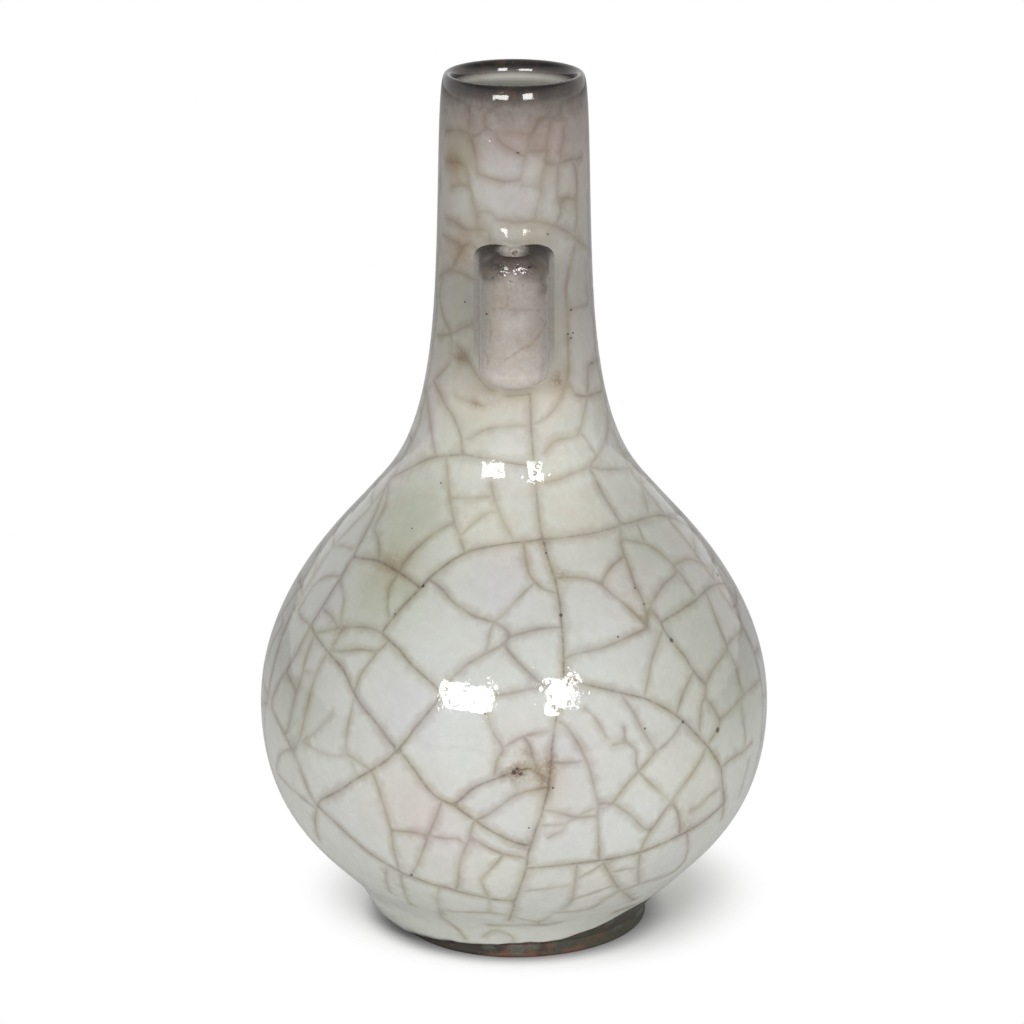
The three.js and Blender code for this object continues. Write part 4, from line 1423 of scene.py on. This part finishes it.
def lug_finish(name, glaze):
    finish = Finish(name)
    tint = finish.carried("tint", "Color")
    soft = finish.cloud(2.2, 3.0, 0.6)
    grain = finish.cloud(0.45, 2.0, 0.6, shift=43.0)
    run = finish.cloud(2.2, 3.0, 0.6, place=finish.stretched(1.0, 1.0, 0.22), shift=5.0)
    colour = finish.shaded(tint, soft * 0.24 + run * 0.2 + grain * 0.24 + 0.66)
    long_way = finish.vector("LENGTH", {0: finish.carried("to_crack", "Vector")}, "Value")
    distance = long_way.most(finish.carried("crack_line") - 1.0)
    uneven = finish.cloud(1.4, 2.0, shift=31.0)
    line = (1 - (distance / (uneven * 0.7 + 0.1)).rising(0.1, 1.5)) * uneven.rising(0.25, 0.6)
    colour = finish.blend(line * 0.32, colour, glaze.rust)
    pitted = finish.carried("pitted")
    pits = (1 - finish.spots(2.0).rising(0.14, 0.4)) * pitted
    colour = finish.blend(pits * 0.6, colour, glaze.iron)
    speckle = finish.cloud(0.8, 2.0, 0.7, shift=91.0).rising(0.46, 0.62)
    colour = finish.blend(pitted * speckle * 0.12, colour, glaze.lug_grey)
    mottled = finish.cloud(1.9, 2.0, 0.6, shift=33.0).rising(0.4, 0.62)
    colour = finish.blend(mottled * 0.5, colour, (0.95, 0.88, 0.82), "MULTIPLY")
    spot = (finish.carried("iron") + (grain - 0.5) * 0.3).rising(0.4, 0.7)
    colour = finish.blend(spot, colour, glaze.iron)
    height = finish.cloud(4.0, 1.0, shift=3.0) * 0.08 + finish.cloud(1.9, 1.0, shift=8.0) * (pitted * 0.5 + 0.012)
    height = height - line * 0.01 - pits * 0.3 - spot * 0.1
    roughness = (line * 0.06 + soft * 0.08 + 0.02) * (1 - pitted) + finish.carried("sooty") * 0.5 + 0.03
    return finish.surface(colour, roughness, height)


FINISHES = {
    "clay": (clay_finish, "bare stoneware", {}),
    "body": (crackle_finish, "crackled body glaze", {"foot": True}),
    "inside": (inside_finish_with_painted_shade, "inside glaze", {}),
    "neck": (crackle_finish, "crackled neck glaze", {"fading": 0.7, "wide": 0.85, "streaks": 0.1}),
    "lug": (lug_finish, "lug glaze", {}),
}


@lru_cache(maxsize=None)
def finish_of(kind):
    """Each finish is made once, and pieces of the same finish share it."""
    make, name, settings = FINISHES[kind]
    return make(name, bpy.context.scene.vase_glaze, **settings)


def lug_outline(lug, radius, inset, front_inset):
    """One level loop of the lug's outside, in from its widest by an inset. Its back lies
    inside the neck's wall."""
    half = lug.width / 2 - inset
    back = lambda x: np.sqrt(radius**2 - x**2) - 0.7 * MM
    start = float(back(half))
    shoulder = radius + lug.reach - lug.round_depth - 0.4 * front_inset
    near = start + np.linspace(0, 3.2 * MM, 22)
    side = np.concatenate([near, np.linspace(near[-1], shoulder, 10)[1:]])
    right = np.column_stack([np.full(len(side), half), side])
    tip = radius + lug.reach - front_inset
    keep = half / (lug.width / 2)
    round_end = bezier(
        np.array([half, shoulder]),
        np.array([half, shoulder + lug.side_pull * keep]),
        np.array([lug.front_pull * keep, tip]),
        np.array([0, tip]),
        26,
    )
    right = np.vstack([right, round_end])
    left = right[:-1][::-1] * np.array([-1, 1])
    across = np.linspace(-half, half, 30)[1:-1]
    hidden = np.column_stack([across, back(across)])
    return np.vstack([right, left, hidden])


def hole_middle(lug, skin, height):
    """How far from the axis the middle of the cord hole is."""
    return skin.radius_at(height) + lug.seat_gap + lug.bore_wall + lug.bore_depth / 2


def lug_rings(lug, skin):
    """Level loops from the lower end of the cord hole up through it, over the top, down the
    outside and back under."""
    top, low = lug.top_height, lug.top_height - lug.length
    quarter = np.linspace(0, math.pi / 2, 12)
    rings = []

    def outside(height, inset=0.0, front=None):
        return lug_outline(lug, float(skin.radius_at(height)), inset, inset if front is None else front)

    def hole(height, wider=0.0):
        loop = outside(height, lug.top_roll)
        middle = float(hole_middle(lug, skin, height))
        half_width, half_depth = lug.bore_width / 2 + wider, lug.bore_depth / 2 + wider
        angle = np.arctan2((loop[:, 1] - middle) / half_depth, loop[:, 0] / half_width)
        return np.column_stack([half_width * np.cos(angle), middle + half_depth * np.sin(angle)])

    def upper(height):
        """The lug's outside near its top: sides rolled in, front leaning back and rolled in."""
        past = min(max(height - top + lug.top_roll, 0.0), lug.top_roll)
        lean = lug.lean_back * max(1 - (top - height) / lug.lean_length, 0.0) ** 2
        front = lean + lug.top_roll - math.sqrt(lug.top_roll**2 - past**2)
        past = min(max(height - top + lug.corner_roll, 0.0), lug.corner_roll)
        return outside(height, lug.corner_roll - math.sqrt(lug.corner_roll**2 - past**2), front)

    flare, low_front = lug.bore_flare, 0.7 * lug.bottom_roll
    for height in np.linspace(low + flare, top - flare, 16):
        rings.append((hole(height), height))
    for angle in quarter[1:]:
        rings.append((hole(top, flare * (1 - math.cos(angle))), top - flare * (1 - math.sin(angle))))
    inner, outer = hole(top, flare), upper(top)
    for part in 1 - (1 - np.linspace(0, 1, 26)[1:-1]) ** 1.6:
        rings.append((inner + part * (outer - inner), top))
    for angle in quarter:
        height = top - lug.corner_roll * (1 - math.cos(angle))
        rings.append((upper(height), height))
    for height in np.linspace(top - lug.corner_roll, low + lug.bottom_roll, 46)[1:-1]:
        rings.append((upper(height), height))
    for angle in quarter[::-1]:
        height = low + lug.bottom_roll * (1 - math.cos(angle))
        part = 1 - math.sin(angle)
        rings.append((outside(height, lug.bottom_roll * part, low_front * part), height))
    inner, outer = hole(low, flare * 0.9), outside(low, lug.bottom_roll, low_front)
    for part in 1 - np.linspace(0, 1, 18)[1:-1] ** 1.6:
        rings.append((inner + part * (outer - inner), low))
    for angle in quarter[::-1][:-1]:
        rings.append((hole(low, flare * 0.9 * (1 - math.cos(angle))), low + flare * (1 - math.sin(angle))))
    return np.array([np.column_stack([loop[:, 0], -loop[:, 1], np.full(len(loop), h)]) for loop, h in rings])


def looped_normals(grid):
    return grid_normals(grid, np.roll(grid, -1, axis=0) - np.roll(grid, 1, axis=0))


def lug_surface(lug, skin):
    """The front lug, its foot spread against the neck where slip and glaze pooled."""
    grid = lug_rings(lug, skin)
    normal = looped_normals(grid)
    radius = skin.radius_at(grid[..., 2])
    away = np.hypot(grid[..., 0], grid[..., 1]) - radius
    outward = np.stack([grid[..., 0], grid[..., 1], np.zeros_like(away)], -1) / (away + radius)[..., None]
    sideways = normal - (normal * outward).sum(-1, keepdims=True) * outward
    sideways /= np.maximum(np.linalg.norm(sideways, axis=-1, keepdims=True), 1e-9)
    pool = lug.seam_round
    depth = np.clip(pool - away, 0, pool)
    spread = pool - np.sqrt(pool**2 - depth**2)
    beyond = np.abs(grid[..., 1] + hole_middle(lug, skin, grid[..., 2]))
    in_hole = (np.abs(grid[..., 0]) < lug.bore_width / 2 + 0.02 * MM) & (beyond < lug.bore_depth / 2 + 0.02 * MM)
    grid = grid + np.where(in_hole, 0, spread)[..., None] * sideways
    rings, count = grid.shape[:2]
    return grid.reshape(-1, 3), looped_normals(grid).reshape(-1, 3), quads(rings, count, rings), away.reshape(-1)


# Where the lug's glaze leans to another colour, in the photograph's pixels.
LUG_WASHES = """
soot 492,251,5,1 534,252,6,1 493,263,4,0.7
brown 487,258,6,0.9 541,259,6,0.7 493,278,4,0.6 515,311,5,0.18
wine 500,259,5,1 512,260,6,1 525,260,6,1 537,262,5,0.8
olive 546,265,4,0.7 488,269,5,0.6 487,279,5,0.4 484,276,4,0.7 541,269,6,0.7 542,279,6,0.6 546,288,5,0.7 541,292,6,0.4
dusk 505,268,6,0.8 520,268,7,0.9 530,272,5,0.6
rose 512,279,6,0.6 515,288,9,0.8 527,297,8,0.7 485,340,5,0.6
buff 498,291,8,0.7 505,304,8,0.6 545,306,6,0.8 490,313,5,0.6 538,331,6,0.7 530,344,6,0.7 544,347,5,0.6 490,357,5,0.4
543,365,5,0.5 497,330,5,0.4
ivory 507,325,10,0.7 520,322,9,0.6 505,342,11,0.6 515,368,14,0.9 500,378,10,0.7 532,375,8,0.6
"""

LUG_IRON = """
494,251,2.2 535,252,2.4 543,285,1.1 542.5,291,1.1 545.5,293,1 486.5,314,1.6 521,272,2 517,268,1.4 529,267,2
503,270,1.2 501,266,1.5 493,278,1.2 547,275,1.2
"""


def laid(under, part, over):
    """A colour laid over others by a share for each point."""
    part = part[:, None]
    return under * (1 - part) + np.asarray(over) * part


@lru_cache(maxsize=1)
def finished_lug():
    """The front lug's surface with its colours, cracks and pits, and painted light on the cord hole's back wall."""
    scene = bpy.context.scene
    lug, glaze, lens = scene.vase_lug, scene.vase_glaze, Lens(scene.vase_studio)
    skin = crackled_wall()[0]
    points, normals, faces, away = lug_surface(lug, skin)
    tree = BVHTree.FromPolygons([tuple(p) for p in points], faces)

    def hits(rows):
        """Where the camera sees each row's pixel on the lug, with the rest of the row."""
        found = []
        for ray, row in zip(lens.rays(rows), rows):
            hit = tree.ray_cast(Vector(lens.place), Vector(ray / np.linalg.norm(ray)))[0]
            if hit is not None:
                found.append((np.array(hit), *row[2:]))
        return found

    seeker = tree_of([spot for _, line in read_rows(LUG_CRACKS) for (spot,) in hits(rounded(line, 8))])
    to_crack, distance = np.zeros((len(points), 3)), np.zeros(len(points))
    for i, point in enumerate(points):
        found, _, far = seeker.find(point)
        to_crack[i] = (np.array(found) - point) / MM
        distance[i] = far / MM
    centres, sizes = zip(*hits(read_points(LUG_IRON)))
    iron = speckled(points, centres, np.array(sizes) * LUG_IRON_SPAN * MM)
    down = (lug.top_height - points[:, 2]) / MM
    edge, thin, grey, light = (np.array(c) for c in (glaze.lug_edge, glaze.lug_thin, glaze.lug_grey, glaze.lug_light))
    colours = [edge * 0.4, edge * 0.3, edge * 0.62, thin * 0.8, grey * 0.88, grey, light, light * 1.08]
    tint = by_height([-5, 0.8, 2.6, 4.6, 7.0, 20, 31, 60], colours, down)
    leans = {
        "soot": edge * 0.12, "wine": edge, "dusk": thin * 0.62, "brown": thin * 0.5, "rose": grey,
        "olive": np.array(glaze.lug_olive), "buff": grey * np.array([1.0, 0.95, 0.88]), "ivory": light,
    }
    washes = []
    for name, rows in read_rows(LUG_WASHES):
        washes += [(spot, size * LUG_PIXEL, name, amount) for spot, size, amount in hits(rows)]
    tint = laid(tint, *washed(points, washes, leans, 0.8))
    # Partly painted light: the cord hole's back wall takes the light glaze in place of the rim's dark, which is the
    # glaze's own colour, and takes more of it left of the middle, which is a painted reflection.
    middle = hole_middle(lug, skin, points[:, 2])
    reach = np.hypot(points[:, 0] / (lug.bore_width / 2), (-points[:, 1] - middle) / (lug.bore_depth / 2))
    hollow = np.clip(1.9 - reach, 0, 0.5) * 2 * np.clip((points[:, 1] + middle) / (1.5 * MM) + 0.3, 0, 1)
    hollow *= np.clip(1.5 - np.abs(points[:, 0] + 0.5 * MM) / (3.2 * MM), 0, 1)
    tint = laid(tint, hollow, light * 0.95)
    seam = np.clip(1 - away / (2.6 * MM), 0, 1) ** 1.5 * np.interp(down, [2, 5], [0.05, 1.0])
    tint = laid(tint, seam, by_height([160 * MM, 178 * MM], [glaze.body, glaze.neck], points[:, 2]))
    tint = tint * np.interp(down, [2.5, 6, 22, 30, 33], [1.0, 0.8, 0.8, 0.88, 1.0])[:, None]
    across = np.abs(points[:, 0]) / MM
    pitted = np.clip(1.6 - np.abs(down - 3.2) / 3.0, 0, 1) * np.clip(-normals[:, 1] * 4 - 1.6, 0, 1)
    pitted *= np.clip(2.2 - across / 3.4, 0, 1)
    corner = np.clip((across - 4.4) / 1.4, 0, 1) * np.clip((6.5 - down) / 2.5, 0, 1)
    sooty = np.maximum(corner, np.clip(1.2 - down, 0, 1) * (1 - hollow))
    cracked = {"to_crack": to_crack, "crack_line": distance}
    return points, normals, faces, {"tint": tint, **cracked, "iron": iron, "pitted": pitted, "sooty": sooty}


def thrown(name, node, slot, index, kinds, *inner):
    """One thrown section: its part of the crackled wall, and surfaces with the inside's glaze."""
    shell = Shell()
    shell.add(*in_section(index))
    for surface in inner:
        shell.add(*surface, stuff=1)
    shell.piece(name, node, [finish_of(kind) for kind in kinds])


def quarter(radius, height, size, steps):
    """A quarter of a round edge, from the upright inwards, its size negative where the edge
    turns outwards."""
    angles = np.linspace(0, math.pi / 2, steps)
    return [(radius - size * (1 - math.cos(a)), height + abs(size) * (1 - math.sin(a))) for a in angles]


class MakeFoot(Operator):
    """Turn the bare clay foot ring"""

    bl_idname = "vase.make_foot"
    bl_label = "Foot ring"

    def execute(self, context):
        wall = context.scene.vase_wall
        clay, inner = wall.foot_radius, wall.foot_radius - wall.foot_width
        bevel, height = wall.foot_bevel, wall.foot_height
        rows = [(clay, height), (clay, height - 0.05 * MM), (clay + 0.1 * MM, 0.72 * height)]
        rows += [(clay - 0.15 * MM, 0.5 * height), (clay, 1.6 * bevel)]
        rows += quarter(clay, 0, bevel, 7) + [((clay + inner) / 2, 0.0)]
        outer = len(rows)
        rows += quarter(inner, 0, -bevel, 7)[::-1] + [(inner, 2.4 * bevel), (inner, height)]
        count = JOINT_POINTS[0]
        rows = np.repeat(np.array(rows)[:, None], count, axis=1)
        rows[1:outer, :, 0] -= undercut(2 * math.pi * np.arange(count) / count - math.pi)
        points, normals, faces = turned(rows, count, inward=True)
        shell = Shell()
        shell.add(points, normals, faces, {"ash": ash_of(points)})
        shell.piece("foot_ring_clay", "foot_ring", [finish_of("clay")])
        return {"FINISHED"}


class MakeBelly(Operator):
    """Throw the lower and the upper half of the belly, with crackle, glaze edge and base"""

    bl_idname = "vase.make_belly"
    bl_label = "Belly"

    def execute(self, context):
        wall, kinds = context.scene.vase_wall, ("body", "inside")
        inner, top, corner = wall.foot_radius - wall.foot_width, wall.recess_depth, 1.0 * MM
        rows = [(inner, wall.foot_height)]
        for angle in np.linspace(0, math.pi / 2, 8):
            rows.append((inner - corner * (1 - math.cos(angle)), top - corner * (1 - math.sin(angle))))
        rows += [(radius * MM, top) for radius in (29, 22, 16, 10, 5, 1)]
        base = turned(rows, ROUND_COUNT, close=True)
        bowl = turned(inside_between(0, wall.belly_height), ROUND_COUNT, close=True, inward=True)
        thrown("lower_body_glazed", "lower_body", "crackle_glaze", 0, kinds, base, bowl)
        inside = turned(inside_between(wall.belly_height, wall.shoulder_height), ROUND_COUNT, inward=True)
        thrown("upper_body_glazed", "upper_body", "crackle_glaze", 1, kinds, inside)
        return {"FINISHED"}


class MakeNeck(Operator):
    """Throw the neck and the rounded lip"""

    bl_idname = "vase.make_neck"
    bl_label = "Neck and lip"

    def execute(self, context):
        wall = context.scene.vase_wall
        inside = turned(inside_between(wall.shoulder_height, wall.height), ROUND_COUNT, inward=True)
        thrown("neck_glazed", "neck", "neck_glaze", 2, ("neck", "inside"), inside)
        thrown("mouth_rim_glazed", "mouth_rim", "thin_dark_glaze", 3, ("neck",))
        return {"FINISHED"}


class MakeLugs(Operator):
    """Lute the two hollow lugs to the neck"""

    bl_idname = "vase.make_lugs"
    bl_label = "Lugs"

    def execute(self, context):
        points, normals, faces, marks = finished_lug()
        for node, turn in (("lug_front", 1), ("lug_rear", -1)):
            flip = np.array([turn, turn, 1])
            shell = Shell()
            shell.add(points * flip, normals * flip, faces, {**marks, "to_crack": marks["to_crack"] * flip})
            shell.piece(f"{node}_glazed", node, [finish_of("lug")])
        return {"FINISHED"}


class SetStage(Operator):
    """Set the floor, the lamps, the soft light from all round and the camera"""

    bl_idname = "vase.set_stage"
    bl_label = "Stage"

    def execute(self, context):
        scene = context.scene
        studio, wall = scene.vase_studio, scene.vase_wall
        mesh = bpy.data.meshes.new("floor")
        mesh.from_pydata([(-4, -4, 0), (4, -4, 0), (4, 4, 0), (-4, 4, 0)], [], [(0, 1, 2, 3)])
        floor = bpy.data.objects.new("floor", mesh)
        scene.collection.objects.link(floor)
        finish = Finish("floor")
        seen = finish.add("ShaderNodeLightPath", out="Is Camera Ray")
        colour = finish.blend(seen, (0.8, 0.8, 0.8), (studio.floor_seen,) * 3)
        # Painted shadow: the floor is darkened within the contact width round the foot ring, and there it is kept out
        # of the fade into white.
        out = finish.vector("LENGTH", {0: finish.place}, "Value")
        beside = out.rising(wall.foot_radius - 2 * MM, wall.foot_radius + studio.painted_contact_shadow)
        colour = finish.shaded(colour, beside * 0.4 + 0.5)
        diffuse = finish.add("ShaderNodeBsdfDiffuse", None, {"Color": colour})
        white = finish.add("ShaderNodeEmission", None, {"Strength": 1.0})
        middle = (studio.shadow_aside, studio.shadow_back, 0.0)
        far = finish.vector("DISTANCE", {0: finish.place, 1: middle}, "Value")
        part = far.rising(studio.shadow_start, studio.shadow_reach) * beside * seen
        mixed = finish.add("ShaderNodeMixShader", None, {0: part, 1: diffuse, 2: white})
        finish.node("ShaderNodeOutputMaterial", None, {"Surface": mixed})
        mesh.materials.append(finish.material)

        world = bpy.data.worlds.new("soft light")
        scene.world = world
        world.use_nodes = True
        light = Finish("soft light", world)
        away = light.add("ShaderNodeTexCoord", out="Generated")
        sideways, behind, up = light.axis(away, "X"), light.axis(away, "Y").most(0.0), light.axis(away, "Z")
        soft = up.most(0.0) * (studio.sky - studio.horizon) + studio.horizon
        soft = soft * (1 - sideways * sideways * 0.6) + behind * studio.back_light
        low = 1 - up.rising(0.3, 0.7)
        seen, mirrored, through = (
            light.add("ShaderNodeLightPath", out=f"Is {ray} Ray") for ray in ("Camera", "Glossy", "Transmission")
        )
        plain = seen.most(mirrored * low).most(through)
        strength = soft * (1 - plain) + plain
        background = light.add("ShaderNodeBackground", None, {"Color": (1, 1, 1, 1), "Strength": strength})
        light.node("ShaderNodeOutputWorld", None, {"Surface": background})

        aim = Vector((0, 0, 0.45 * wall.height))
        left = (-studio.lamp_turn, "left lamp", 0.56, 0.27, studio.left_lamp_height)
        right = (studio.lamp_turn, "right lamp", 0.38, 0.37, studio.right_lamp_height)
        for turn, name, width, height, above in (left, right):
            light = bpy.data.lights.new(name, "AREA")
            light.shape, light.size, light.size_y = "RECTANGLE", width, height
            light.energy = studio.lamp_power
            lamp = bpy.data.objects.new(name, light)
            away = studio.lamp_distance
            lamp.location = (away * math.sin(turn), -away * math.cos(turn), above)
            lamp.rotation_euler = (aim - lamp.location).to_track_quat("-Z", "Y").to_euler()
            scene.collection.objects.link(lamp)

        camera = bpy.data.cameras.new("camera")
        camera.sensor_width = 36.0
        camera.lens = FOCAL_PIXELS / PHOTO_PIXELS * camera.sensor_width
        camera.shift_x = -(AXIS_PIXEL - PHOTO_PIXELS / 2) / PHOTO_PIXELS
        camera.clip_start, camera.clip_end = 0.05, 20.0
        place = bpy.data.objects.new("camera", camera)
        place.location = Lens(studio).place
        place.rotation_euler = (math.pi / 2 - studio.camera_tilt, 0, 0)
        scene.collection.objects.link(place)
        scene.camera = place
        scene.view_settings.view_transform = "Standard"
        return {"FINISHED"}


class VasePanel(Panel):
    """Lists the sizes, colours and steps"""

    bl_idname = "VIEW3D_PT_crackled_vase"
    bl_label = "Crackled bottle vase"
    bl_space_type = "VIEW_3D"
    bl_region_type = "UI"
    bl_category = "Vase"

    def draw(self, context):
        for title in GROUPS:
            group = getattr(context.scene, title)
            box = self.layout.box()
            box.label(text=title.removeprefix("vase_").capitalize())
            for name in group.__annotations__:
                box.prop(group, name)
        for step in STEPS:
            self.layout.operator(step.bl_idname)


STEPS = (MakeFoot, MakeBelly, MakeNeck, MakeLugs, SetStage)
GROUPS = {"vase_wall": VaseWall, "vase_lug": VaseLug, "vase_glaze": VaseGlaze, "vase_studio": VaseStudio}
CLASSES = (*GROUPS.values(), *STEPS, VasePanel)


def register():
    for kind in CLASSES:
        bpy.utils.register_class(kind)
    for name, group in GROUPS.items():
        setattr(bpy.types.Scene, name, PointerProperty(type=group))


def unregister():
    for name in GROUPS:
        delattr(bpy.types.Scene, name)
    for kind in reversed(CLASSES):
        bpy.utils.unregister_class(kind)


def corners(box):
    return [list(corner) for corner in box]


def main():
    register()
    bpy.ops.vase.make_foot()
    bpy.ops.vase.make_belly()
    bpy.ops.vase.make_neck()
    bpy.ops.vase.make_lugs()
    bpy.ops.vase.set_stage()


if __name__ == "__main__":
    main()
